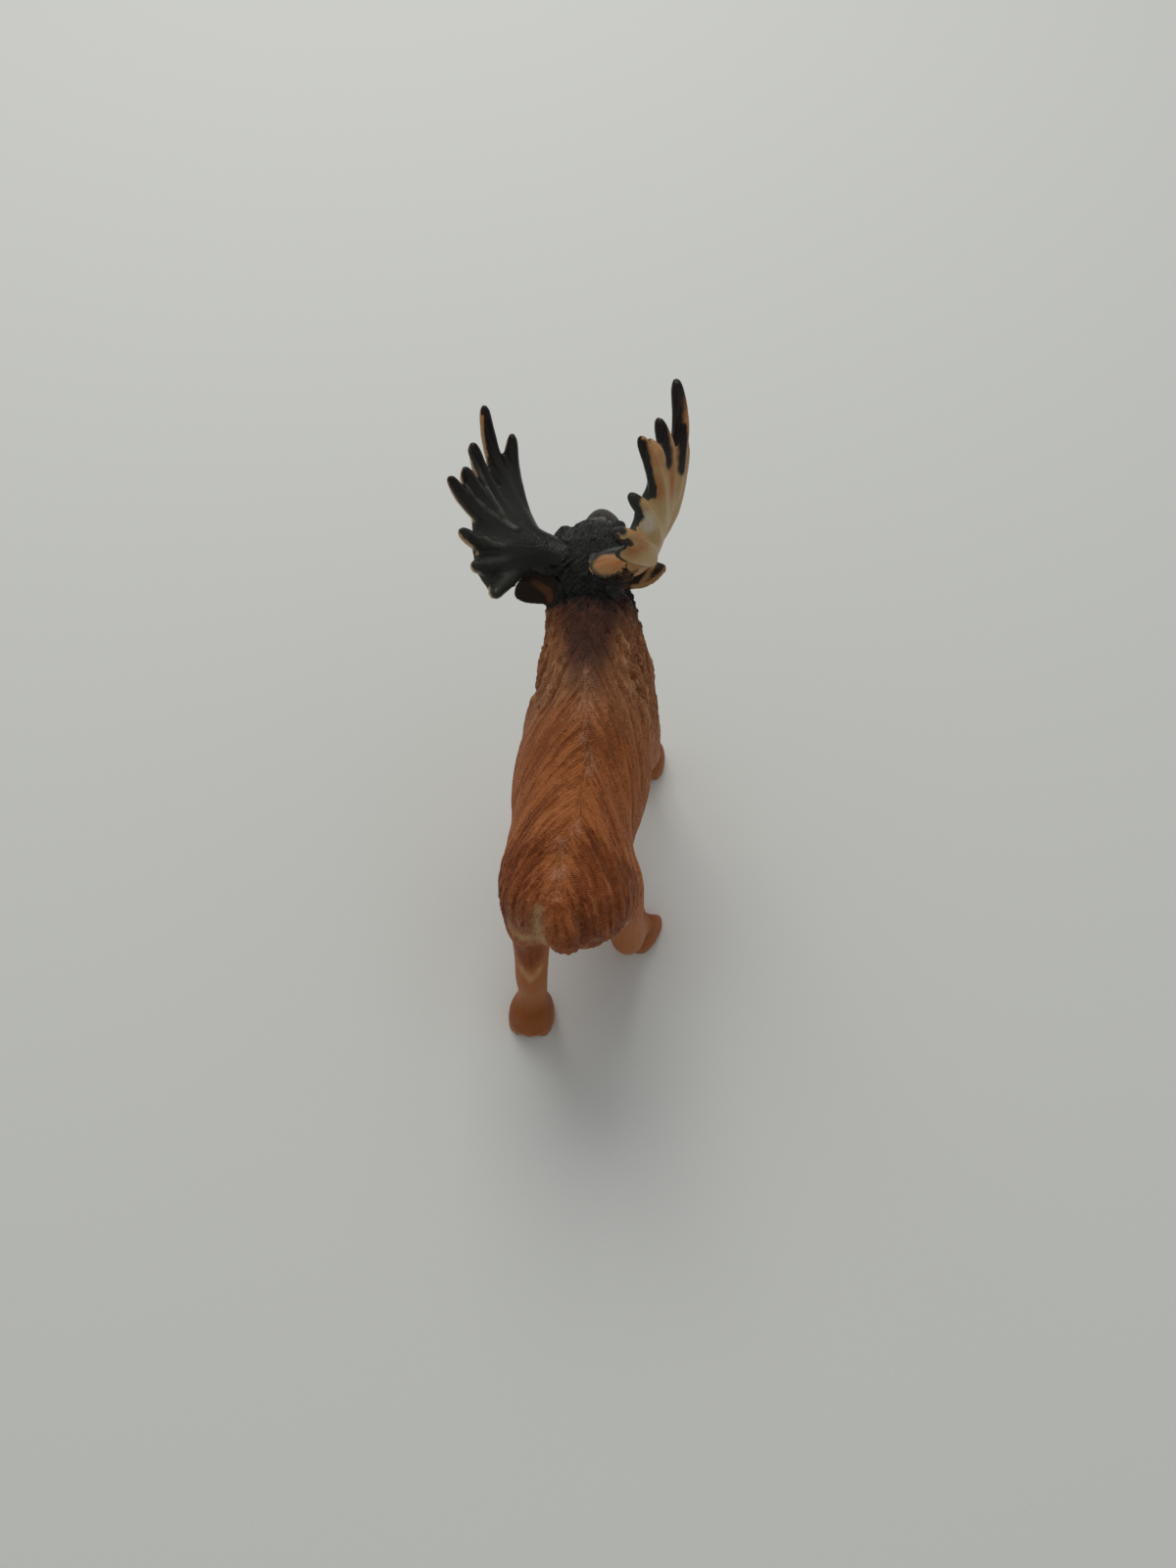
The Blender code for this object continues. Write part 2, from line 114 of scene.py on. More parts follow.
# %% [markdown]
# ## A fine skin over the CAD form
# The CAD node is loose triangles, so a copy is merged first and the node itself is left alone. Two
# rounds of Catmull-Clark subdivision take the facets off it. A voxel remesh then lays an even net of
# small squares over it, because carving needs points everywhere, not only where the form bends.

# %% Copy, merge, subdivide and remesh
SKIN_VOXEL = 0.23 * MM


def merged_copy(node, name):
    """A new object with the node's shape and its doubled points merged"""
    bm = bmesh.new()
    bm.from_mesh(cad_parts[node].data)
    bmesh.ops.remove_doubles(bm, verts=bm.verts[:], dist=0.001 * MM)
    mesh = bpy.data.meshes.new(name)
    bm.to_mesh(mesh)
    bm.free()
    mesh.materials.clear()
    copy = bpy.data.objects.new(name, mesh)
    scene.collection.objects.link(copy)
    return copy


def apply_modifiers(piece):
    """Make what the modifiers show the piece's own mesh"""
    graph = bpy.context.evaluated_depsgraph_get()
    graph.update()
    shown = bpy.data.meshes.new_from_object(piece.evaluated_get(graph))
    piece.modifiers.clear()
    piece.data = shown


skin = merged_copy("moose", "moose_skin")
rounding = skin.modifiers.new("rounding", "SUBSURF")
rounding.levels = 2
rounding.render_levels = 2
netting = skin.modifiers.new("netting", "REMESH")
netting.mode = "VOXEL"
netting.voxel_size = SKIN_VOXEL
apply_modifiers(skin)
print("points in the skin:", len(skin.data.vertices))

# %% [markdown]
# ## Carving tools
# A sculptor's brush is a distance and a falloff. Each tool below measures how far every point is
# from a line, turns that into a weight between nought and one, and moves the points along their
# normals by that weight. Numbers for the whole skin are worked on at once, which keeps it quick.

# %% Measure distances and move points
def points_of(mesh, field="co"):
    """Every point's place, or its normal, as rows of three"""
    values = np.empty(len(mesh.vertices) * 3, np.float64)
    mesh.vertices.foreach_get(field, values)
    return values.reshape(-1, 3)


def move_points(mesh, points):
    """Write the places back"""
    mesh.vertices.foreach_set("co", points.astype(np.float32).ravel())
    mesh.update()


def distance_to(points, path):
    """How far each point is from a line through the places of the path, in millimetres"""
    nearest = np.full(len(points), np.inf)
    for start, end in zip(path, path[1:]):
        along = end - start
        share = np.clip((points - start) @ along / (along @ along), 0.0, 1.0)
        gap = np.linalg.norm(points - start - share[:, None] * along, axis=1)
        nearest = np.minimum(nearest, gap)
    return nearest / MM


def ramp(values, low, high):
    """Nought at low, one at high, and smooth between"""
    share = np.clip((values - low) / (high - low), 0.0, 1.0)
    return share * share * (3 - 2 * share)


def brush(points, path, width):
    """A soft weight round a line: one on it, nought a width away"""
    return 1.0 - ramp(distance_to(points, path), 0.0, width)


print("the skin's points span", np.round(np.ptp(points_of(skin.data), axis=0) / MM, 1), "mm")

# %% [markdown]
# ## The head's own frame
# The head is nodded down and tilted, so its face is carved in a frame that turns with it. The same
# turns as in the CAD source give that frame.

# %% The head's frame
HEAD_PLACE = (3.0, 41.6, 74.0)
HEAD_NOD = 25.5
HEAD_TILT = 12.0

nod = Matrix.Rotation(math.radians(HEAD_NOD), 3, "X")
tilt = Matrix.Rotation(math.radians(HEAD_TILT), 3, "Y")
HEAD_AXES = np.array(nod @ tilt)


def in_head(left, ahead, up):
    """A place in the head's frame, in metres"""
    return spot(*HEAD_PLACE) + HEAD_AXES @ (np.array([left, -ahead, up]) * MM)


def head_places(points):
    """Left, ahead and up of every point in the head's frame, in millimetres"""
    local = (points - spot(*HEAD_PLACE)) @ HEAD_AXES / MM
    return local[:, 0], -local[:, 1], local[:, 2]


def face_line(side, places):
    """A line through places of the head's frame, on its left for one and its right for minus one"""
    return [in_head(side * left, ahead, up) for left, ahead, up in places]


print("the tip of the muzzle is at", np.round(in_head(0.0, 30.0, -4.0) / MM, 1))

# %% [markdown]
# ## The antlers' lines
# Each antler is a cupped palm with eight tines that fan out from one hub. The tines' lines are used
# twice: to carve ridges along them, and to know later which face of the palm is the outer one,
# because the two faces are painted differently.

# %% The antlers' lines
ANTLER_REACH = 30.0
ANTLER_CUP = 3.6
LEFT_TINES = (
    (48, 0.78),
    (38, 0.98),
    (23, 0.81),
    (10, 0.74),
    (0, 0.79),
    (-24, 0.64),
    (-44, 0.58),
    (-66, 0.53),
)
RIGHT_TINES = (
    (41, 0.88),
    (31, 1.08),
    (19, 0.84),
    (10, 0.74),
    (0, 0.80),
    (-18, 0.54),
    (-45, 0.56),
    (-58, 0.45),
)


def antler_frame(hub, upright, front, side):
    """The hub, the palm's upright and front, and the way its outer face looks"""
    rise = way(*upright)
    forth = way(*front)
    forth = forth - rise * (forth @ rise)
    forth = forth / np.linalg.norm(forth)
    outer = np.cross(rise, forth) * side
    return spot(*hub), rise, forth, outer


def tine_line(antler, angle, length, steps=7):
    """Places along one tine, from the hub over the cup to the tip"""
    hub, rise, forth, outer = antler
    heading = rise * math.cos(math.radians(angle)) + forth * math.sin(math.radians(angle))
    line = []
    for share in np.linspace(0.0, 1.0, steps):
        cup = ANTLER_CUP * MM * 4 * share * (1 - share)
        line.append(hub + heading * (share * length * ANTLER_REACH * MM) + outer * cup)
    return line


LEFT_ANTLER = antler_frame((11.4, 41.5, 79.7), (0.72, 0.06, 0.69), (-0.16, 0.98, 0.08), 1)
RIGHT_ANTLER = antler_frame((-7.2, 40.3, 82.8), (0.08, 0.31, 0.95), (-0.31, 0.91, -0.28), -1)
LEFT_LINES = [tine_line(LEFT_ANTLER, *tine) for tine in LEFT_TINES]
RIGHT_LINES = [tine_line(RIGHT_ANTLER, *tine) for tine in RIGHT_TINES]
BEAMS = (
    [spot(9.3, 41.0, 79.8), LEFT_ANTLER[0]],
    [spot(-0.6, 39.0, 81.8), RIGHT_ANTLER[0]],
)
print("the left antler's longest tine ends at", np.round(LEFT_LINES[1][-1] / MM, 1))

# %% [markdown]
# ## Ears, legs and other lines
# The same is done for the other parts that stand off the body. A part's line, and how far the skin
# is from it, tells the later steps which hair direction and which paint belong there.

# %% Lines of the ears, the legs and the tail
LEFT_EAR_ROOT = (7.5, 38.7, 73.5)
LEFT_EAR_TIP = (16.5, 36.5, 72.3)
LEFT_EAR = [spot(*LEFT_EAR_ROOT), spot(*LEFT_EAR_TIP)]
RIGHT_EAR = [spot(-3.2, 39.0, 76.2), spot(-13.2, 43.4, 77.6)]
TAIL = [spot(0.2, -20.8, 57.4), spot(-1.1, -25.6, 52.2), spot(-1.8, -25.0, 45.6)]


def antler_share(points):
    """One on the antlers, nought on the rest"""
    gap = np.full(len(points), np.inf)
    for line in LEFT_LINES + RIGHT_LINES:
        gap = np.minimum(gap, distance_to(points, line))
    height = animal_places(points)[2]
    tines = (1.0 - ramp(gap, 3.4, 4.4)) * ramp(height, 77.5, 79.5)
    for beam in BEAMS:
        on_beam = 1.0 - ramp(distance_to(points, beam), 2.9, 3.5)
        tines = np.maximum(tines, on_beam * ramp(height, 79.0, 80.5))
    return tines


on_antler = antler_share(points_of(skin.data))
print("share of the points that are antler:", round(float(on_antler.mean()), 3))

# %% [markdown]
# ## Carve the face
# A moose has a long drooping muzzle, wide nostrils that look sideways and a lip that hangs over the
# jaw. The camera sees only the top of it, but a shelf figure is turned round. Each feature is one
# stroke of the brush: a dent for a nostril, a groove for the mouth, a ring round the eye.

# %% Face strokes
NOSTRIL_LINE = ((4.2, 24.6, -2.0), (3.3, 26.6, -2.4))
BROW_LINE = ((3.6, 12.0, 4.6), (5.2, 7.0, 4.4))
MOUTH_LINE = (
    (4.6, 15, -6),
    (4.8, 20.5, -6.3),
    (4.2, 25.5, -7),
    (2.2, 28.6, -7.4),
    (0, 29.4, -7.5),
)
EYE_PLACE = (6.3, 9.2, 1.7)
EYE_DASH = 0.1
EYE_LENGTHENED = 1.25
EYE_STANDS_OUT = 0.2
LEAST_MOVE = 0.01


def carve(mesh, strokes):
    """Push the skin in or out along lines: each stroke is a line, a width and a height in mm"""
    points = points_of(mesh)
    normals = points_of(mesh, "normal")
    lift = np.zeros(len(points))
    for line, width, height in strokes:
        lift += brush(points, line, width) * height
    move_points(mesh, points + normals * (lift * MM)[:, None])
    return int((np.abs(lift) > LEAST_MOVE).sum())


def eye_centre(side):
    """The middle of one eye, in metres"""
    return face_line(side, [EYE_PLACE])[0]


def eye_ring(side, radius, steps=9):
    """A closed line round an eye"""
    centre = eye_centre(side)
    outward = HEAD_AXES @ np.array([side, 0.0, 0.0])
    ring = []
    for angle in np.linspace(0.0, math.tau, steps):
        round_eye = np.array([0.0, -math.cos(angle) * EYE_LENGTHENED, math.sin(angle)])
        ring.append(centre + HEAD_AXES @ round_eye * (radius * MM) + outward * EYE_STANDS_OUT * MM)
    return ring


def stroke(points, line, width):
    """The weight of one brush stroke through places on the animal"""
    return brush(points, [spot(*place) for place in line], width)


face = []
for side in (1, -1):
    nostril = face_line(side, NOSTRIL_LINE)
    eye = in_head(side * EYE_PLACE[0], EYE_PLACE[1] - EYE_DASH, EYE_PLACE[2])
    face.append((nostril, 2.9, 0.5))
    face.append((nostril, 1.5, -1.5))
    face.append((face_line(side, MOUTH_LINE), 0.9, -0.7))
    face.append(([eye, eye + way(0, 1, 0) * EYE_DASH * MM], 1.6, 0.5))
    face.append((eye_ring(side, radius=1.8), 0.7, -0.5))
    face.append((eye_ring(side, radius=2.6), 1.0, 0.45))
    face.append((face_line(side, BROW_LINE), 2.2, 0.5))
print("points moved for the face:", carve(skin.data, face))

# %% [markdown]
# ## Carve the antlers' ribs and fill the left ear
# The palms are ribbed: each tine runs on as a raised rib down to the hub, and on the left palm's
# inner face thin webs stand up between the tines. The left ear is a little fuller than the CAD
# model's, up to the antler's beam.

# %% Ribs, webs and the left ear
WEBS = (
    ((26.2, 51, 95), (24.9, 49.5, 92.4), (23.3, 48, 89.6), (21.4, 45.3, 88.8), (19.7, 44.1, 86.4)),
    ((26.1, 44.3, 92.5), (24.5, 43.3, 90.5), (22.8, 43.4, 88.5), (20, 43.2, 86), (17, 43, 84)),
    ((21.8, 37.6, 86.5), (20.6, 37.7, 85.2), (17.5, 39.5, 82.5)),
)
RIB_WIDTH = 1.5
RIB_HEIGHT = 0.22
WEB_WIDTH = 1.1
WEB_HEIGHT = 0.5
EAR_FULLER = 1.5

ridges = []
for line in LEFT_LINES + RIGHT_LINES:
    ridges.append((line[1:], RIB_WIDTH, RIB_HEIGHT))
for web in WEBS:
    ridges.append(([spot(*place) for place in web], WEB_WIDTH, WEB_HEIGHT))
print("points moved for the ridges:", carve(skin.data, ridges))
points = points_of(skin.data)
ear_left = (LEFT_EAR_ROOT[0], LEFT_EAR_TIP[0])
ear_height = np.interp(animal_places(points)[0], ear_left, (LEFT_EAR_ROOT[2], LEFT_EAR_TIP[2]))
over_ear = ramp(points[:, 2] / MM - ear_height, -0.6, 1.4)
fuller = (1.0 - ramp(distance_to(points, LEFT_EAR), 2.6, 4.2)) * over_ear
points = points + np.outer(fuller * EAR_FULLER, way(0.0, 0.25, 1.0)) * MM
move_points(skin.data, points)
print("fullest part of the ear moved by", round(float(fuller.max()) * EAR_FULLER, 2), "mm")

# %% [markdown]
# ## Which way the hair lies
# Hair is combed into the mould in definite directions: back and outwards in chevrons along the
# spine, down and round on the rump, down the legs, and in long locks on the neck. A small table of
# places with the direction at each is enough, because the directions between them are blended. It
# is written for one side, and the outward share changes sign across the spine.

# %% A table of hair directions
SPINE_AHEAD = (-30, -18, -10, -5, 2, 8, 12, 18, 30, 42)
SPINE_LEFT = (0, 0.8, 1.2, -0.8, -1.2, -1.6, -0.5, 0.6, 1.6, 3)
# Outward from the spine, ahead, up; then the direction outward, ahead, up
HAIR = (
    ((2, 35, 77), (0.75, -0.6, -0.4)),
    ((5, 33, 74.5), (0.8, -0.4, -0.5)),
    ((2, 26, 70), (0.55, -0.8, -0.4)),
    ((2, 18, 66), (0.6, -0.8, -0.3)),
    ((2, 10, 62), (0.75, -0.75, -0.1)),
    ((2, 0, 60), (0.8, -0.65, 0)),
    ((2, -9, 59), (0.7, -0.7, 0)),
    ((2, -17, 58), (0.5, -0.85, -0.2)),
    ((7, -12, 56), (0.5, -0.75, -0.35)),
    ((7, -18, 55), (0.35, -0.75, -0.5)),
    ((3, -24, 55), (0.3, -0.5, -0.9)),
    ((8, 33, 68), (0.1, -0.4, -0.9)),
    ((9, 26, 60), (0.1, -0.3, -0.95)),
    ((10, 18, 58), (0.3, -0.5, -0.85)),
    ((10, 8, 55), (0.5, -0.7, -0.55)),
    ((11, -2, 53), (0.5, -0.75, -0.5)),
    ((11, -12, 52), (0.3, -0.7, -0.7)),
    ((8, -22, 50), (0.05, -0.35, -0.95)),
    ((12, 28, 45), (0, -0.25, -0.95)),
    ((13, 10, 44), (0, -0.75, -0.6)),
    ((13, -4, 44), (0, -0.8, -0.55)),
    ((12, -14, 40), (0, -0.3, -0.95)),
    ((2, 5, 30), (0.2, -1, 0)),
    ((9, 22, 25), (0, 0, -1)),
    ((9, -18, 25), (0, -0.1, -1)),
    ((9, 0, 10), (0, 0, -1)),
    ((3, 38, 55), (0, -0.1, -1)),
    ((3, 48, 56), (0, 0, -1)),
)
COMB_REACH = 5.0


def beside_spine(left, ahead):
    """How far left of the spine's wandering line a place is"""
    return left - np.interp(ahead, SPINE_AHEAD, SPINE_LEFT)


def hair_on_body(points):
    """The blended direction of the hair from the table"""
    left, ahead, up = animal_places(points)
    aside = beside_spine(left, ahead)
    folded = np.stack([np.abs(aside), ahead, up], axis=1)
    total = np.zeros_like(points)
    for place, direction in HAIR:
        squares = ((folded - np.array(place)) ** 2).sum(axis=1)
        weight = 1.0 / (squares + COMB_REACH**2) ** 2
        total += weight[:, None] * np.array(direction)
    turned = np.tanh(aside)
    return np.stack([total[:, 0] * turned, -total[:, 1], total[:, 2]], axis=1)


print("directions in the table:", len(HAIR))

# %% [markdown]
# The head, the ears and the antlers have directions of their own: from the nose back to the poll,
# from an ear's root to its tip, and outwards from an antler's hub. At the end each direction is laid
# flat on the skin, because hair that pointed into the surface would show as dots, not as lines.

# %% Directions for the whole skin
def unit_rows(rows):
    """Each row made one long"""
    return rows / np.maximum(np.linalg.norm(rows, axis=1), 1e-12)[:, None]


def head_share(points):
    """One on the head, nought behind the poll"""
    left, ahead, up = head_places(points)
    close = 1.0 - ramp(np.hypot(left, up + 1.0), 11.0, 14.0)
    return ramp(ahead, -4.0, 2.0) * close * (1.0 - antler_share(points))


def ear_share(points, ear):
    """One on an ear, nought away from it"""
    return 1.0 - ramp(distance_to(points, ear), 3.0, 4.2)


def hub_gaps(points):
    """How far each point is from the left and from the right antler's hub, in metres"""
    return [np.linalg.norm(points - antler[0], axis=1) for antler in (LEFT_ANTLER, RIGHT_ANTLER)]


def hair_direction(points, normals):
    """The way the hair lies at every point"""
    flow = unit_rows(hair_on_body(points))
    toward_poll = HEAD_AXES @ np.array([0.0, 1.0, 0.0])
    share = head_share(points)[:, None]
    flow = flow * (1 - share) + toward_poll * share
    for ear in (LEFT_EAR, RIGHT_EAR):
        along = (ear[1] - ear[0]) / np.linalg.norm(ear[1] - ear[0])
        share = ear_share(points, ear)[:, None]
        flow = flow * (1 - share) + along * share
    left_gap, right_gap = hub_gaps(points)
    hub = np.where((left_gap < right_gap)[:, None], LEFT_ANTLER[0], RIGHT_ANTLER[0])
    share = antler_share(points)[:, None]
    flow = flow * (1 - share) + unit_rows(points - hub) * share
    flat = flow - normals * (flow * normals).sum(axis=1)[:, None]
    return unit_rows(flat)


flow = hair_direction(points_of(skin.data), points_of(skin.data, "normal"))
print("mean direction of the hair:", np.round(flow.mean(axis=0), 2))

# %% [markdown]
# ## Hair lines from smeared noise
# Fine hair isn't modelled strand by strand. Random bumps are averaged along the hair's direction,
# which smears them into streaks, much as a comb does. The lattice of random numbers has a fixed
# seed, so that the figure comes out the same each time.

# %% Streaks
LATTICE_SIZE = 64
LATTICE_SEED = 11
LATTICE = np.random.default_rng(LATTICE_SEED).uniform(-1.0, 1.0, (LATTICE_SIZE,) * 3)


def lattice_noise(places):
    """Smooth random values at places counted in lattice cells"""
    base = np.floor(places).astype(np.int64)
    part = places - base
    part = part * part * (3 - 2 * part)
    total = np.zeros(len(places))
    for corner in itertools.product((0, 1), repeat=3):
        weight = np.prod(np.where(np.array(corner), part, 1.0 - part), axis=1)
        cell = (base + np.array(corner)) % LATTICE_SIZE
        total += weight * LATTICE[cell[:, 0], cell[:, 1], cell[:, 2]]
    return total


def streaks(points, flow, width, length, start, steps=19):
    """Noise smeared along the hair, spread evenly about nought"""
    total = np.zeros(len(points))
    for share in np.linspace(-0.5, 0.5, steps):
        total += lattice_noise((points / MM + flow * (share * length)) / width + start)
    return total / total.std()


FINE_WIDTH = 0.46
FINE_LENGTH = 11.0
FINE_START = 3.0
LOCK_WIDTH = 0.8
LOCK_LENGTH = 13.0
LOCK_START = 17.0


def fine_and_locks(points, flow):
    """The narrow streaks and the broad ones"""
    fine = streaks(points, flow, FINE_WIDTH, FINE_LENGTH, FINE_START)
    locks = streaks(points, flow, LOCK_WIDTH, LOCK_LENGTH, LOCK_START)
    return fine, locks


fine, locks = fine_and_locks(points_of(skin.data), flow)
print("fine hair and locks, highest:", round(float(fine.max()), 2), round(float(locks.max()), 2))

# %% [markdown]
# ## Press the hair into the skin
# The streaks move the skin by a tenth of a millimetre or so. The depth differs from place to place:
# deep locks on the neck and the shoulders, clear lines on the back and rump, hardly any on the lower
# legs, and faint grain on the antlers. Hooves, eyes and the muzzle's end stay smooth.

# %% Depth of the hair from place to place
LEG_FADE = (26.0, 42.0)
LEG_RELIEF = 0.03
COAT_RELIEF = 0.09
ANTLER_RELIEF = 0.03
NECK_RELIEF = 0.38
RUMP_RELIEF = 0.16
HEAD_RELIEF = 0.14
CURL_RELIEF = 0.3
CURL_SIZE = 1.5
EAR_SMOOTHNESS = 0.75


def smooth_places(points):
    """One where no hair is pressed in: hooves, eyes and the muzzle's end; the ears have a little"""
    up = animal_places(points)[2]
    nose = ramp(head_places(points)[1], 20.0, 25.0) * head_share(points)
    ears = np.maximum(ear_share(points, LEFT_EAR), ear_share(points, RIGHT_EAR)) * EAR_SMOOTHNESS
    eyes = np.zeros(len(points))
    for side in (1, -1):
        gap = np.linalg.norm(points - eye_centre(side), axis=1) / MM
        eyes = np.maximum(eyes, 1.0 - ramp(gap, 2.6, 3.8))
    return np.maximum.reduce([1.0 - ramp(up, 6.0, 10.0), nose, ears, eyes])


def neck_share(points):
    """One on the neck and the shoulders' sides, nought on the back, the head and the antlers"""
    left, ahead, up = animal_places(points)
    aside = np.abs(beside_spine(left, ahead))
    behind = ramp(ahead + 0.5 * (up - 55.0), 16.0, 26.0)
    low = ramp(up, 28.0, 40.0)
    bare = np.maximum(head_share(points), antler_share(points))
    crest = 0.35 + 0.65 * ramp(aside, 1.0, 6.0)
    return behind * low * crest * (1.0 - bare)


def rump_share(points):
    """One on the rump and the flanks, nought on the back's middle and in front"""
    left, ahead, up = animal_places(points)
    aside = np.abs(beside_spine(left, ahead))
    return ramp(-ahead, -6.0, 8.0) * ramp(aside, 0.5, 4.0) * ramp(up, 36.0, 46.0)


def hair_lift(points, fine, locks):
    """How far the hair moves the skin, in millimetres"""
    up = animal_places(points)[2]
    antler = antler_share(points)
    head_ahead = head_places(points)[1]
    coat = (LEG_RELIEF + COAT_RELIEF * ramp(up, *LEG_FADE)) * (1.0 - antler) + ANTLER_RELIEF * antler
    head = head_share(points) * (1.0 - 0.6 * ramp(head_ahead, 6.0, 14.0))
    curls = lattice_noise(points / MM / CURL_SIZE) * CURL_RELIEF * head * (1.0 - ramp(head_ahead, 12.0, 18.0))
    depth = NECK_RELIEF * neck_share(points) + RUMP_RELIEF * rump_share(points) + HEAD_RELIEF * head
    combed = np.tanh(fine) * coat + np.tanh(locks) * depth
    return (combed + curls) * (1.0 - smooth_places(points))


points = points_of(skin.data)
lift = hair_lift(points, fine, locks)
move_points(skin.data, points + points_of(skin.data, "normal") * (lift * MM)[:, None])
print("deepest and highest hair in mm:", round(float(lift.min()), 2), round(float(lift.max()), 2))

# %% [markdown]
# ## Thin the net where it is calm
# The net now has more triangles than a reusable part should. Decimate takes them away where the skin
# is flat and keeps them along the hair and the edges. The soles are pressed level again afterwards.

# %% Fewer triangles
MOST_TRIANGLES = 192000

skin.data.calc_loop_triangles()
thinning = skin.modifiers.new("thinning", "DECIMATE")
thinning.ratio = min(1.0, MOST_TRIANGLES / len(skin.data.loop_triangles))
apply_modifiers(skin)
points = points_of(skin.data)
points[:, 2] = np.maximum(points[:, 2], 0.0)
move_points(skin.data, points)
skin.data.calc_loop_triangles()
print("triangles:", len(skin.data.loop_triangles))

# %% [markdown]
# ## Where the paint goes
# The figure is moulded in brown plastic and painted in a few passes: black-brown over the head, a
# pointed mane down the neck, a reddish shade on the rump, dry-brushed highlights along the spine and
# on the locks, dark antlers with tan outer faces, and a few bare cream patches. Each pass is stored
# as a number at every point, and the material turns the numbers into colours.

# %% Store a pass of paint
STORED_LIMIT = 2.0
PATCH_SIZE = 2.4


def store(name, values):
    """Keep one number at every point of the skin, for the materials to read"""
    field = skin.data.attributes.new(name, "FLOAT", "POINT")
    field.data.foreach_set("value", np.clip(values, -STORED_LIMIT, STORED_LIMIT).astype(np.float32))
    print(name, round(float(np.mean(values)), 3))


def store_arrows(name, rows):
    """Keep one direction at every point of the skin"""
    field = skin.data.attributes.new(name, "FLOAT_VECTOR", "POINT")
    field.data.foreach_set("vector", rows.astype(np.float32).ravel())


points = points_of(skin.data)
normals = points_of(skin.data, "normal")
left, ahead, up = animal_places(points)
aside = beside_spine(left, ahead)
flow = hair_direction(points, normals)
fine, locks = fine_and_locks(points, flow)
left_gap, right_gap = hub_gaps(points)
patchy = lattice_noise(points / MM / PATCH_SIZE + 5.0)
store_arrows("flow", flow)
# The furrows set where the coat gets painted shade in the grooves and painted light on the crests
furrow = 0.5 * np.tanh(fine) + 0.75 * np.tanh(locks) * rump_share(points)
bare = smooth_places(points)
comb = (0.35 + 0.65 * ramp(up, *LEG_FADE)) * (1.0 - bare)
store("furrow", furrow * comb)
store("locks", locks * (1.0 - bare))
store("comb", comb)

# %% [markdown]
# The black covers the head, the poll and the foot of the left antler, and thins out down the neck.
# Under it lies a dark brown mane that narrows toward the withers. Both edges are broken up by the
# locks, so that the paint looks brushed on and not masked.

# %% The dark coat
MANE_AHEAD = (13.0, 18.0, 24.0, 30.0, 35.0, 40.0)
MANE_WIDTH = (2.0, 3.4, 4.4, 5.8, 8.6, 14.0)

antler = antler_share(points)
brushed_out = 0.1 * np.tanh(locks) + 0.14 * np.tanh(fine)
mane_left = left - np.interp(ahead, (24.0, 34.0), (0.9, 1.6))
mane_edge = np.abs(mane_left) / np.interp(ahead, MANE_AHEAD, MANE_WIDTH)
high_up = ramp(up, 58.0, 66.0)
mane = ramp(ahead, 15.0, 28.0) * (1.0 - ramp(mane_edge, 0.5, 1.3)) * high_up
store("mane", mane + brushed_out * ramp(mane, 0.05, 0.4))
beside_mane = np.maximum(np.abs(mane_left) - 3.0, 0.0)
poll = ramp(ahead - beside_mane, 28.5, 38.5) * ramp(up, 62.0, 70.0)
face_side = head_share(points) * ramp(head_places(points)[1], 0.0, 5.0)
dewlap = ramp(ahead, 43.0, 45.0) * (1.0 - ramp(up, 66.0, 70.0)) * ramp(up, 44.0, 46.0)
round_hub = 1.0 - ramp(left_gap / MM, 9.0, 12.0)
dark = np.maximum.reduce([poll, face_side, 0.8 * dewlap, round_hub])
store("dark", dark + brushed_out * ramp(dark, 0.02, 0.3))
neck_brown = ramp(ahead + 0.35 * (up - 60.0), 12.0, 24.0) * ramp(up, 30.0, 50.0)
store("neck_brown", neck_brown * (1.0 - antler))

# %% [markdown]
# Reddish shade lies on both sides of the rump. Pale dry-brushed marks follow the spine, where they
# catch only the raised hair.

# %% Rump, legs and spine
rump = ramp(-ahead, 4.0, 13.0) * ramp(np.abs(aside), 1.0, 5.0) * ramp(up, 40.0, 48.0)
store("rump", rump)
store("legs", (1.0 - ramp(up, 18.0, 40.0)) * (0.85 + 0.25 * patchy))
SPINE_MARKS = (
    ((0.9, 22.9, 68.6), 2.2),
    ((0.8, 20.5, 67.3), 1.6),
    ((1, 18.2, 66.1), 2),
    ((-0.3, 15.4, 65.3), 2.4),
    ((-0.6, 11.4, 63.4), 2.6),
    ((-1.5, 9.3, 61.9), 2.8),
    ((-2.5, 7.1, 60.6), 2.4),
    ((-1.2, -5.6, 59.8), 2),
    ((1.5, -10, 59.2), 3.2),
    ((0.9, -14.3, 58.2), 3),
    ((0.7, -18.4, 58), 2.2),
)
spine = np.zeros(len(points))
for mark, width in SPINE_MARKS:
    back_of_mark = np.array(mark) + (0.0, -1.6, 0.0)
    spine = np.maximum(spine, brush(points, [spot(*mark), spot(*back_of_mark)], width))
store("spine", spine * (0.65 + 0.35 * np.tanh(fine) + 0.25 * patchy))

# %% [markdown]
# Pale plastic shows in a soft cuff over the left hind leg, in a thin angle above its fetlock and
# beside the tail. Darker strokes lie on the shank, in the hooves' hollows and on the tail.

# %% Pale patches and dark strokes
CREAM_STROKES = (
    (((9, -20.5, 45), (7, -22.8, 43.6), (5, -23.8, 45)), 3),
    (((5, -23.8, 46), (3, -24.1, 47.5), (2.2, -23.6, 43)), 2.6),
    (((3.8, -22.2, 55.6), (3.9, -23.6, 52), (3.4, -24.1, 48)), 2),
    (((8.3, -23, 27.8), (6.2, -24.3, 25.4), (4, -22.2, 27.4)), 1.2),
    (((-6.4, -22.4, 47.5), (-9.8, -20, 45), (-12.3, -14.9, 38)), 1.6),
)
SHANK_STROKES = (
    (((8.3, -21.9, 36.5), (8, -22.4, 31.5)), 3.2),
    (((5.6, -22.6, 37.5), (6.4, -22.8, 30)), 3.4),
    (((4.6, -21.1, 35.5), (4.8, -22, 31)), 2.6),
)


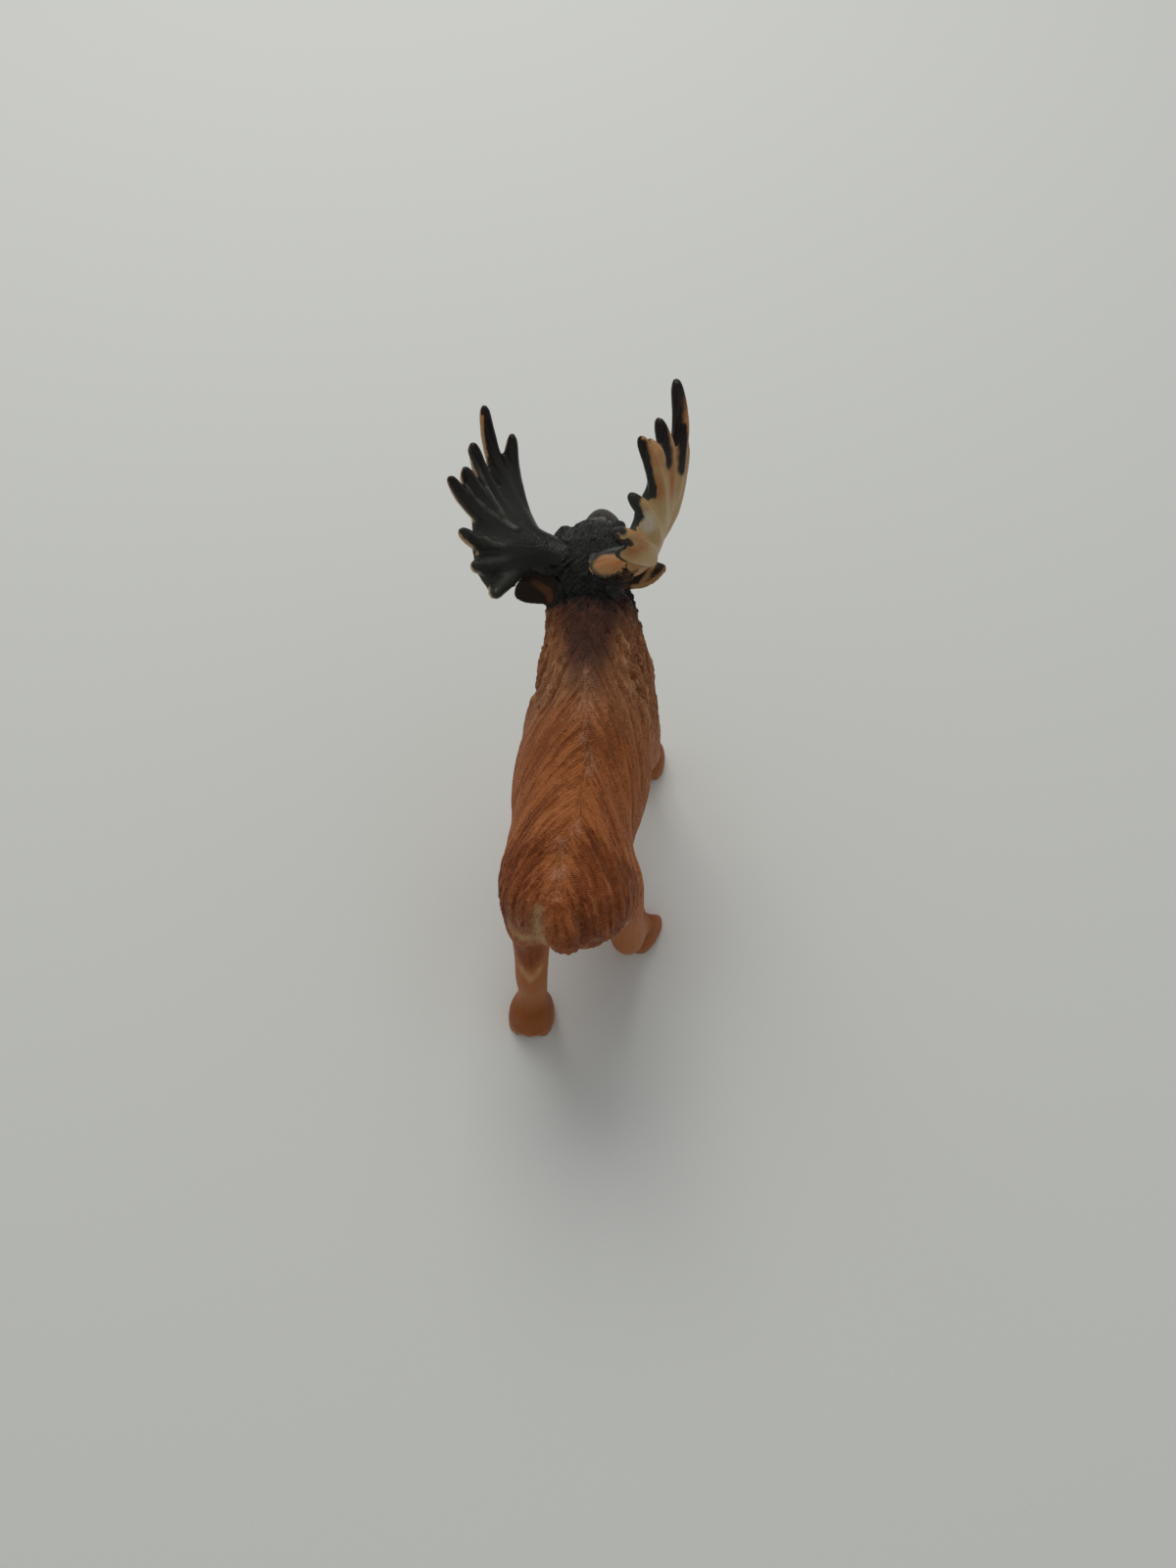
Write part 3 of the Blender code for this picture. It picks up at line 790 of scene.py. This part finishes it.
def stroke_paint(points, strokes):
    """The strongest of several brush strokes, each a line of places and a width"""
    weight = np.zeros(len(points))
    for line, width in strokes:
        weight = np.maximum(weight, stroke(points, line, width))
    return weight


cream = stroke_paint(points, CREAM_STROKES)
store("cream", cream * (0.85 + 0.25 * patchy + 0.12 * np.tanh(fine)))
tail_paint = brush(points, TAIL, 3.6) * ramp(-ahead, 20.0, 22.0)
store("shank", np.maximum(stroke_paint(points, SHANK_STROKES), tail_paint))
hoof_rim = (1.0 - ramp(up, 0.9, 2.6)) * (0.8 + 0.4 * patchy)
store("hoof_rim", hoof_rim)
hoof_back = ramp(up, 1.5, 3.5) * (1.0 - ramp(up, 8.0, 15.0)) * (0.8 + 0.3 * patchy)
store("hoof", hoof_back)

# %% [markdown]
# The antlers are dark inside and tan outside, and the paint meets along the tines' edges. Which
# side a point belongs to follows from its normal and the way the palm's outer face looks. On the
# right antler the dark paint runs over on to the outer face, tine by tine.

# %% The antlers' two sides
def outer_side(points, normals, antler):
    """How much a point's normal looks outwards from the palm, from minus one to one"""
    hub, rise, forth, outer = antler
    reach = np.clip(np.linalg.norm(points - hub, axis=1) / (ANTLER_REACH * MM), 0.0, 1.0)
    radial = unit_rows(points - hub)
    bend = 4.0 * ANTLER_CUP / ANTLER_REACH * (1.0 - 2.0 * reach)
    facing = unit_rows(outer[None, :] - radial * bend[:, None])
    return (normals * facing).sum(axis=1)


OVERRUNS = (
    (((-10.4, 62.7, 104.6), (-10.6, 60, 102.9), (-10.8, 57.4, 100.8)), 3.8),
    (((-8.8, 54, 103.1), (-9.3, 52, 101.9), (-10.1, 50.2, 100.4), (-10.5, 48.5, 98.8)), 2.2),
    (((-5.9, 46.3, 105), (-6.6, 45.2, 103.2), (-7.3, 44.2, 100.9), (-8.2, 42.7, 97.2)), 1.9),
    (((-5.9, 40.4, 98.9), (-5.7, 39, 97.9), (-6.6, 38.5, 95.5)), 1.9),
    (((-4.2, 33.1, 97.5), (-3.6, 33.2, 98)), 1.8),
    (((-12.5, 56.3, 100.6), (-12.9, 53.8, 98.5), (-13.2, 52, 96.7), (-13.2, 50.7, 95.5)), 2),
    (((-5.2, 32.3, 95.8), (-5.9, 32.5, 94.7)), 1.2),
)
ORANGE_STROKES = (
    (((0, 38.5, 82), (-3.1, 37.7, 83.6), (-6, 36.8, 86)), 4.2),
    (((-6.1, 32.3, 93.2), (-8.5, 34.3, 93.2), (-6.4, 34, 96.4)), 2.6),
    (((-7, 47.6, 104.8), (-8.7, 45.3, 102.7)), 3.4),
    (((-8.3, 43.4, 99.7), (-9.7, 42.6, 97.9)), 3.2),
    (((-11.5, 48.3, 97.6), (-12.2, 46.5, 94.6)), 2.9),
    (((-10, 52, 100), (-11, 49.5, 98)), 2.8),
)
# Painted highlight: a near-white spot where the right palm's outer face catches the light
HIGHLIGHT_STROKES = ((((-8, 38.2, 95.3), (-8.5, 38.1, 93.7)), 2.4),)
BEAM_STROKES = ((((-0.4, 37.8, 82.6), (-3.1, 37.4, 83.6), (-6.5, 36.5, 85.5)), 3.6),)
BEAM_COVER = 1.3
WEB_PAINT_WIDTH = 1.0
RIM_STROKES = (
    (((25.3, 58.9, 95.9), (25.2, 57.4, 94.0), (24.7, 55.8, 91.8), (24.1, 54.6, 90.5)), 0.7),
    (((25.6, 34.6, 90.4), (24.4, 35.1, 87.4), (23.1, 35.6, 84.4)), 0.9),
)
left_tan = ramp(outer_side(points, normals, LEFT_ANTLER), 0.08, 0.32)
right_tan = ramp(outer_side(points, normals, RIGHT_ANTLER), 0.0, 0.35) - stroke_paint(points, OVERRUNS)
tan = np.where(left_gap < right_gap, left_tan, right_tan)
tan = np.maximum(tan, stroke_paint(points, RIM_STROKES))
tan = np.maximum(tan, BEAM_COVER * stroke_paint(points, BEAM_STROKES))
store("web", stroke_paint(points, [(web, WEB_PAINT_WIDTH) for web in WEBS]))
store("orange", stroke_paint(points, ORANGE_STROKES))
store("painted_highlight", stroke_paint(points, HIGHLIGHT_STROKES))
store("tan", tan)

# %% [markdown]
# The rest of the antlers' paint follows how far a point is from the hub. The right ear has a tan
# rim round a dark hollow, and the left ear is a dull red brown.

# %% Distance from the hub, and the ears
store("out", np.minimum(left_gap, right_gap) / (ANTLER_REACH * MM))
EAR_RED_STROKES = ((((13.2, 38.7, 74.5), (10.2, 37.6, 73), (9.6, 36.3, 72.3)), 1.7),)
RIGHT_EAR_RIM = (
    (-12.6, 43, 77.8),
    (-11.4, 40.8, 77.2),
    (-9.5, 39.2, 76.7),
    (-7.9, 38.2, 76.3),
    (-6.4, 38, 76.4),
)
EAR_TAN_STROKES = (
    (RIGHT_EAR_RIM, 1.3),
    (((-9.8, 43.2, 78.6), (-8.9, 40.6, 77.9), (-7.8, 38.9, 77.1)), 1),
)

left_ear = ear_share(points, LEFT_EAR) * ramp(left, 8.0, 10.0)
right_ear = ear_share(points, RIGHT_EAR) * ramp(-left, 4.5, 6.0)
both_ears = left_ear + right_ear
not_antler = 1.0 - antler
store("ear", both_ears * not_antler)
store("ear_red", stroke_paint(points, EAR_RED_STROKES) * both_ears * not_antler)
store("ear_tan", stroke_paint(points, EAR_TAN_STROKES) * both_ears * not_antler)

# %% Eyes, nostrils, mouth and muzzle
MUZZLE_BAND = (
    (6.2, 59.3, 69),
    (4.6, 60.3, 69.9),
    (3, 60.9, 69.9),
    (1.2, 61.5, 69.3),
    (-0.6, 61.3, 68.6),
)
MUZZLE_STROKES = ((MUZZLE_BAND, 2.4),)
MOUTH_COVER = 0.9

eyes = np.zeros(len(points))
holes = np.zeros(len(points))
for side in (1, -1):
    gap = np.linalg.norm(points - eye_centre(side), axis=1) / MM
    eyes = np.maximum(eyes, 1.0 - ramp(gap, 1.5, 2.1))
    holes = np.maximum(holes, brush(points, face_line(side, NOSTRIL_LINE), 2.2))
    holes = np.maximum(holes, MOUTH_COVER * brush(points, face_line(side, MOUTH_LINE), 1.1))
store("eyes", eyes)
store("holes", holes)
store("muzzle", ramp(head_places(points)[1], 17.0, 25.0) * head_share(points))
store("band", stroke_paint(points, MUZZLE_STROKES) * (0.7 + 0.3 * np.tanh(fine)))

# %% [markdown]
# ## Node groups for the paint
# Two effects come back in more than one material, so each is a node group that is built once. One
# breaks up the edge of a pass of paint with noise. The other repeats the smeared noise of the hair
# at a finer scale than the mesh can hold: it reads the stored direction, and averages a noise
# texture at nine places along it, about as far apart as the noise is wide, so that they join.

# %% Helpers for nodes
def link(tree, start, end):
    """Join two sockets"""
    tree.links.new(start, end)


def value_math(tree, operation, first, second=0.0, clamp=False):
    """One Math node; either side may be a number or a socket"""
    node = tree.nodes.new("ShaderNodeMath")
    node.operation = operation
    node.use_clamp = clamp
    for socket, value in zip(node.inputs, (first, second)):
        if isinstance(value, float):
            socket.default_value = value
        else:
            link(tree, value, socket)
    return node.outputs["Value"]


def scaled(tree, value, factor, shift, clamp=False):
    """A socket times a factor, plus a shift"""
    result = value_math(tree, "MULTIPLY_ADD", value, factor, clamp)
    result.node.inputs[2].default_value = shift
    return result


def between(tree, value, low, high, kind="LINEAR"):
    """How far a value is on its way from low to high, from nought to one"""
    node = tree.nodes.new("ShaderNodeMapRange")
    node.interpolation_type = kind
    node.inputs["From Min"].default_value = low
    node.inputs["From Max"].default_value = high
    link(tree, value, node.inputs["Value"])
    return node.outputs["Result"]


def new_group(name, inputs, output):
    """An empty shader node group with its named number sockets"""
    group = bpy.data.node_groups.new(name, "ShaderNodeTree")
    for title, value in inputs:
        socket = group.interface.new_socket(title, in_out="INPUT", socket_type="NodeSocketFloat")
        socket.default_value = value
    group.interface.new_socket(output, in_out="OUTPUT", socket_type="NodeSocketFloat")
    entry = group.nodes.new("NodeGroupInput")
    leave = group.nodes.new("NodeGroupOutput")
    return group, entry, leave


print("helpers ready")


# %% The brushed edge
ROUGH_EDGE = 0.3
PAINT_GRAIN = 900.0


def make_brushed_edge():
    """Paint whose edge is broken up by noise"""
    inputs = [("Paint", 0.0), ("Rough Edge", ROUGH_EDGE), ("Grain", PAINT_GRAIN)]
    group, entry, leave = new_group("brushed_edge", inputs, "Cover")
    place = group.nodes.new("ShaderNodeTexCoord")
    noise = group.nodes.new("ShaderNodeTexNoise")
    noise.inputs["Detail"].default_value = 3.0
    link(group, place.outputs["Object"], noise.inputs["Vector"])
    link(group, entry.outputs["Grain"], noise.inputs["Scale"])
    centred = value_math(group, "SUBTRACT", noise.outputs["Fac"], 0.5)
    shaken = value_math(group, "MULTIPLY", centred, entry.outputs["Rough Edge"])
    doubled = value_math(group, "MULTIPLY", shaken, 2.0)
    total = value_math(group, "ADD", entry.outputs["Paint"], doubled)
    link(group, between(group, total, 0.2, 0.8, "SMOOTHSTEP"), leave.inputs["Cover"])
    return group


brushed_edge = make_brushed_edge()
print("made", brushed_edge.name)


# %% The fine hair
PLACES_ALONG = 9
HAIR_LINE_WIDTH = 0.36
HAIR_LINE_LENGTH = 3.6


def make_hair_lines():
    """Noise averaged along the stored direction of the hair"""
    inputs = [("Width", HAIR_LINE_WIDTH * MM), ("Length", HAIR_LINE_LENGTH * MM)]
    group, entry, leave = new_group("hair_lines", inputs, "Line")
    place = group.nodes.new("ShaderNodeTexCoord")
    flow = group.nodes.new("ShaderNodeAttribute")
    flow.attribute_name = "flow"
    scale = value_math(group, "DIVIDE", 1.0, entry.outputs["Width"])
    values = []
    for place_along in range(PLACES_ALONG):
        share = place_along / (PLACES_ALONG - 1) - 0.5
        reach = value_math(group, "MULTIPLY", entry.outputs["Length"], share)
        step = group.nodes.new("ShaderNodeVectorMath")
        step.operation = "SCALE"
        link(group, flow.outputs["Vector"], step.inputs[0])
        link(group, reach, step.inputs["Scale"])
        moved = group.nodes.new("ShaderNodeVectorMath")
        moved.operation = "ADD"
        link(group, place.outputs["Object"], moved.inputs[0])
        link(group, step.outputs["Vector"], moved.inputs[1])
        noise = group.nodes.new("ShaderNodeTexNoise")
        noise.inputs["Detail"].default_value = 0.0
        link(group, moved.outputs["Vector"], noise.inputs["Vector"])
        link(group, scale, noise.inputs["Scale"])
        values.append(noise.outputs["Fac"])
    total = values[0]
    for value in values[1:]:
        total = value_math(group, "ADD", total, value)
    mean = value_math(group, "MULTIPLY", total, 1.0 / PLACES_ALONG)
    link(group, between(group, mean, 0.4, 0.6), leave.inputs["Line"])
    return group


hair_lines = make_hair_lines()
print("made", hair_lines.name)

# %% [markdown]
# ## The coat's material
# Colours are laid over each other in the order in which a painter would: brown plastic, red-brown on
# the rump, brown neck, black-brown head and mane, pale marks, cream patches. The grooves between the
# hairs are painted darker as painted shade, and the raised hair lighter as painted light.

# %% Helpers for materials
def new_material(name, colour):
    """A material with its Principled shader"""
    material = bpy.data.materials.new(name)
    material.use_nodes = True
    material.diffuse_color = (*colour, 1.0)
    tree = material.node_tree
    return material, tree, tree.nodes["Principled BSDF"]


def stored(tree, name):
    """A number that was stored at the points"""
    node = tree.nodes.new("ShaderNodeAttribute")
    node.attribute_name = name
    return node.outputs["Fac"]


def layer(tree, below, colour, cover):
    """One pass of colour over what is below"""
    node = tree.nodes.new("ShaderNodeMix")
    node.data_type = "RGBA"
    node.clamp_factor = True
    for socket, value in (("A", below), ("B", colour)):
        if isinstance(value, tuple):
            node.inputs[socket].default_value = (*value, 1.0)
        else:
            link(tree, value, node.inputs[socket])
    link(tree, cover, node.inputs["Factor"])
    return node.outputs["Result"]


def brushed(tree, name, edge=ROUGH_EDGE, grain=PAINT_GRAIN):
    """A stored pass of paint with a broken edge"""
    node = tree.nodes.new("ShaderNodeGroup")
    node.node_tree = brushed_edge
    link(tree, stored(tree, name), node.inputs["Paint"])
    node.inputs["Rough Edge"].default_value = edge
    node.inputs["Grain"].default_value = grain
    return node.outputs["Cover"]


def cover_of(tree, name, edge, share):
    """A stored pass, its edge broken up if edge isn't nought, thinned to a share of itself"""
    cover = brushed(tree, name, edge) if edge else stored(tree, name)
    if share < 1.0:
        cover = value_math(tree, "MULTIPLY", cover, share)
    return cover


def layers(tree, below, passes):
    """Several passes of colour: each is a colour, a stored pass, its edge and its share"""
    for colour, name, edge, share in passes:
        below = layer(tree, below, colour, cover_of(tree, name, edge, share))
    return below


def hair(tree, width, length):
    """Fine hair lines"""
    node = tree.nodes.new("ShaderNodeGroup")
    node.node_tree = hair_lines
    node.inputs["Width"].default_value = width * MM
    node.inputs["Length"].default_value = length * MM
    return node.outputs["Line"]


def bumped(tree, shader, height, distance, strength):
    """A bump on the shader, its depth in millimetres"""
    node = tree.nodes.new("ShaderNodeBump")
    node.inputs["Distance"].default_value = distance * MM
    node.inputs["Strength"].default_value = strength
    link(tree, height, node.inputs["Height"])
    link(tree, node.outputs["Normal"], shader.inputs["Normal"])


print("material helpers ready")

# %% [markdown]
# The colours are written as they look in the light of this scene, from nought to 255, and turned
# into paint: a picture's values are made linear, a little gloss is taken off, and the rest is
# divided by the share of the light that comes back from the figure's upper side.

# %% The coat
LIGHT_SHARE = 0.46
GLOSS = 0.006


def seen(*values):
    """The paint that looks like this in the scene's light"""
    paint = []
    for value in values:
        share = value / 255
        straight = share / 12.92 if share <= 0.04 else ((share + 0.055) / 1.055) ** 2.4
        paint.append(max(straight - GLOSS, 0.0) / LIGHT_SHARE)
    return tuple(paint)


BROWN = seen(132, 78, 44)
# Painted shade: the darker colour in the grooves between the hairs
GROOVE_SHADE = seen(84, 42, 22)
LEG_BROWN = seen(124, 76, 44)
RUMP_RED = seen(100, 52, 28)
# Painted light: the lighter colour on the raised hair
CREST_LIGHT = seen(140, 88, 56)
NECK_BROWN = seen(134, 90, 61)
LOCK_TAN = seen(152, 110, 80)
DARK_MANE = seen(62, 42, 36)
BLACK = seen(24, 24, 23)
GREY_BRUSH = seen(58, 57, 55)
BAND_GREY = seen(84, 82, 77)
MUZZLE_BROWN = seen(38, 33, 30)
EYE_BLACK = (0.004, 0.003, 0.002)
PALE_PINK = seen(134, 96, 76)
CREAM = seen(146, 114, 80)
SHANK_BROWN = seen(96, 44, 15)
HOOF_BROWN = seen(102, 52, 18)
HOOF_RIM = seen(112, 82, 58)
EAR_DARK = seen(34, 26, 20)
EAR_RED = seen(72, 46, 32)
EAR_TAN = seen(118, 88, 58)

# Each pass: its colour, the stored number it follows, how rough its edge is, how much it covers
LEG_RUMP_NECK = (
    (LEG_BROWN, "legs", 0.0, 1.0),
    (RUMP_RED, "rump", 0.2, 0.75),
    (NECK_BROWN, "neck_brown", 0.0, 0.9),
)
HOOF_SHANK = (
    (HOOF_BROWN, "hoof", 0.0, 0.9),
    (SHANK_BROWN, "shank", 0.0, 0.95),
)
PALE_AND_MANE = (
    (CREAM, "cream", 0.0, 0.85),
    (HOOF_RIM, "hoof_rim", 0.0, 0.55),
    (DARK_MANE, "mane", 0.0, 0.95),
)
FACE_AND_EARS = (
    (EYE_BLACK, "holes", 0.1, 1.0),
    (BAND_GREY, "band", 0.3, 1.0),
    (EAR_DARK, "ear", 0.1, 1.0),
    (EAR_RED, "ear_red", 0.2, 1.0),
    (EAR_TAN, "ear_tan", 0.15, 1.0),
    (EYE_BLACK, "eyes", 0.0, 1.0),
)
COAT_SPECULAR = 0.22
WET_EYES = 0.4

coat, tree, shader = new_material("painted_coat", BROWN)
fine_line = hair(tree, HAIR_LINE_WIDTH, HAIR_LINE_LENGTH)
# Painted shade in the hair's grooves and painted light on its raised crests, from the stored furrows and the
# fine lines
wide_groove_shade = scaled(tree, stored(tree, "furrow"), -0.75, 0.16, clamp=True)
thin_groove_shade = scaled(tree, fine_line, -0.75, 0.5, clamp=True)
painted_groove_shade = value_math(tree, "ADD", wide_groove_shade, value_math(tree, "MULTIPLY", thin_groove_shade, 0.6), clamp=True)
painted_groove_shade = value_math(tree, "MULTIPLY", painted_groove_shade, stored(tree, "comb"))
painted_crest_light = scaled(tree, stored(tree, "furrow"), 0.55, -0.15, clamp=True)
lock_crest = value_math(tree, "MULTIPLY", stored(tree, "locks"), 0.6, clamp=True)
lock_crest = value_math(tree, "MULTIPLY", lock_crest, stored(tree, "neck_brown"))
raised = scaled(tree, fine_line, 0.7, -0.2, clamp=True)
head_colour = layer(tree, BLACK, GREY_BRUSH, raised)
head_colour = layer(tree, head_colour, MUZZLE_BROWN, stored(tree, "muzzle"))
caught = value_math(tree, "MULTIPLY", brushed(tree, "spine", 0.5, 1400.0), fine_line)

colour = layers(tree, BROWN, LEG_RUMP_NECK)
colour = layer(tree, colour, LOCK_TAN, lock_crest)
colour = layers(tree, colour, HOOF_SHANK)
# Painted shade in the grooves, then painted light on the raised hair
colour = layer(tree, colour, GROOVE_SHADE, painted_groove_shade)
colour = layer(tree, colour, CREST_LIGHT, painted_crest_light)
colour = layers(tree, colour, PALE_AND_MANE)
colour = layer(tree, colour, PALE_PINK, caught)
colour = layer(tree, colour, head_colour, brushed(tree, "dark", 0.2))
colour = layers(tree, colour, FACE_AND_EARS)
link(tree, colour, shader.inputs["Base Color"])
dry = scaled(tree, fine_line, 0.12, 0.46)
wet = value_math(tree, "MULTIPLY", stored(tree, "eyes"), WET_EYES)
link(tree, value_math(tree, "SUBTRACT", dry, wet), shader.inputs["Roughness"])
shader.inputs["Specular IOR Level"].default_value = COAT_SPECULAR
bumped(tree, shader, value_math(tree, "MULTIPLY", fine_line, stored(tree, "comb")), 0.3, 1.0)
print("nodes in the coat:", len(tree.nodes))

# %% [markdown]
# ## The antlers' material
# The dark side is almost black with a soft gloss. The tan side is cream in the middle of the palm
# and washed with orange toward the base and along the tines, which end in a dull red brown. A small
# near-white spot on the right palm's outer face is a painted highlight.

# %% The antlers
ANTLER_DARK = seen(43, 43, 40)
ANTLER_WEB = seen(76, 73, 68)
ANTLER_CREAM = seen(134, 112, 78)
# Painted highlight: the near-white of the glint on the right palm's outer face
HIGHLIGHT_CREAM = seen(152, 142, 126)
ANTLER_ORANGE = seen(126, 80, 48)
ANTLER_RED = seen(24, 14, 11)
ANTLER_BASE = seen(22, 22, 20)
ANTLER_ROUGHNESS = 0.34
ANTLER_SPECULAR = 0.2
ANTLER_LINE_WIDTH = 0.6
ANTLER_LINE_LENGTH = 5.0

horn, tree, shader = new_material("painted_antler", ANTLER_CREAM)
grain = hair(tree, ANTLER_LINE_WIDTH, ANTLER_LINE_LENGTH)
reach = stored(tree, "out")
toward_tip = between(tree, reach, 0.42, 0.95)
toward_base = between(tree, reach, 0.3, 0.05)
wash = value_math(tree, "MAXIMUM", toward_tip, toward_base)
wash = value_math(tree, "MAXIMUM", wash, stored(tree, "orange"))
streaky = scaled(tree, grain, 0.5, 0.55)
wash = value_math(tree, "MULTIPLY", wash, streaky, clamp=True)
outside = layer(tree, ANTLER_CREAM, ANTLER_ORANGE, wash)
# Painted highlight on the right palm's outer face
outside = layer(tree, outside, HIGHLIGHT_CREAM, stored(tree, "painted_highlight"))
tips = value_math(tree, "MULTIPLY", between(tree, reach, 0.45, 0.8), streaky)
inside = layer(tree, ANTLER_DARK, ANTLER_RED, tips)
inside = layer(tree, inside, ANTLER_BASE, toward_base)
inside = layer(tree, inside, ANTLER_WEB, brushed(tree, "web", 0.2))
colour = layer(tree, inside, outside, brushed(tree, "tan", 0.25, 700.0))
link(tree, colour, shader.inputs["Base Color"])
shader.inputs["Roughness"].default_value = ANTLER_ROUGHNESS
shader.inputs["Specular IOR Level"].default_value = ANTLER_SPECULAR
bumped(tree, shader, grain, 0.1, 0.6)
print("nodes in the antlers' material:", len(tree.nodes))

# %% [markdown]
# ## Give each face its material
# The skin stays one piece. Its faces take one of the two materials by the share of antler that was
# worked out for their points.

# %% Assign the materials
skin.data.materials.append(coat)
skin.data.materials.append(horn)
corners = np.empty(len(skin.data.loops), np.int64)
skin.data.loops.foreach_get("vertex_index", corners)
starts = np.empty(len(skin.data.polygons), np.int64)
skin.data.polygons.foreach_get("loop_start", starts)
antler_faces = antler[corners[starts]] > 0.5
skin.data.polygons.foreach_set("material_index", antler_faces.astype(np.int32))
skin.data.polygons.foreach_set("use_smooth", np.ones(len(antler_faces), bool))
skin.data.update()
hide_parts("moose")
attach(skin, "root")
print("faces of antler:", int(antler_faces.sum()), "of", len(antler_faces))

# %% [markdown]
# ## Floor and light
# The figure stands on plain pale card under soft daylight that comes from the upper left of the
# picture. A wide lamp makes the soft shadow, and a pale sky fills it.

# %% The floor
FLOOR_HALF = 1.5
CARD = (0.79, 0.8, 0.76)
CARD_GRAIN = (0.83, 0.84, 0.8)
CARD_ROUGHNESS = 0.9
GRAIN_SCALE = 1800.0

floor_mesh = bpy.data.meshes.new("floor")
bm = bmesh.new()
bmesh.ops.create_grid(bm, x_segments=1, y_segments=1, size=FLOOR_HALF)
bm.to_mesh(floor_mesh)
bm.free()
floor = bpy.data.objects.new("floor", floor_mesh)
scene.collection.objects.link(floor)
card, tree, shader = new_material("pale_card", CARD)
card_noise = tree.nodes.new("ShaderNodeTexNoise")
card_place = tree.nodes.new("ShaderNodeTexCoord")
card_noise.inputs["Scale"].default_value = GRAIN_SCALE
link(tree, card_place.outputs["Object"], card_noise.inputs["Vector"])
link(tree, layer(tree, CARD, CARD_GRAIN, card_noise.outputs["Fac"]), shader.inputs["Base Color"])
shader.inputs["Roughness"].default_value = CARD_ROUGHNESS
floor_mesh.materials.append(card)
print("floor", FLOOR_HALF * 2, "m wide")


# %% The light
WINDOW_PLACE = Vector((0.18, -0.54, 0.78))
WINDOW_TARGET = Vector((0.0, 0.0, 0.04))
WINDOW_SIDE = 0.6
WINDOW_POWER = 3.5
WINDOW_COLOUR = (1.0, 0.98, 0.95)
ROOM_COLOUR = (0.95, 0.98, 1.0, 1.0)
ROOM_STRENGTH = 0.335

lamp_data = bpy.data.lights.new("window", "AREA")
lamp_data.size = WINDOW_SIDE
lamp_data.energy = WINDOW_POWER
lamp_data.color = WINDOW_COLOUR
lamp = bpy.data.objects.new("window", lamp_data)
scene.collection.objects.link(lamp)
aim = WINDOW_TARGET - WINDOW_PLACE
lamp.matrix_world = Matrix.Translation(WINDOW_PLACE) @ aim.to_track_quat("-Z", "Y").to_matrix().to_4x4()
world = bpy.data.worlds.new("pale_room")
scene.world = world
world.use_nodes = True
sky = world.node_tree.nodes["Background"]
sky.inputs["Color"].default_value = ROOM_COLOUR
sky.inputs["Strength"].default_value = ROOM_STRENGTH
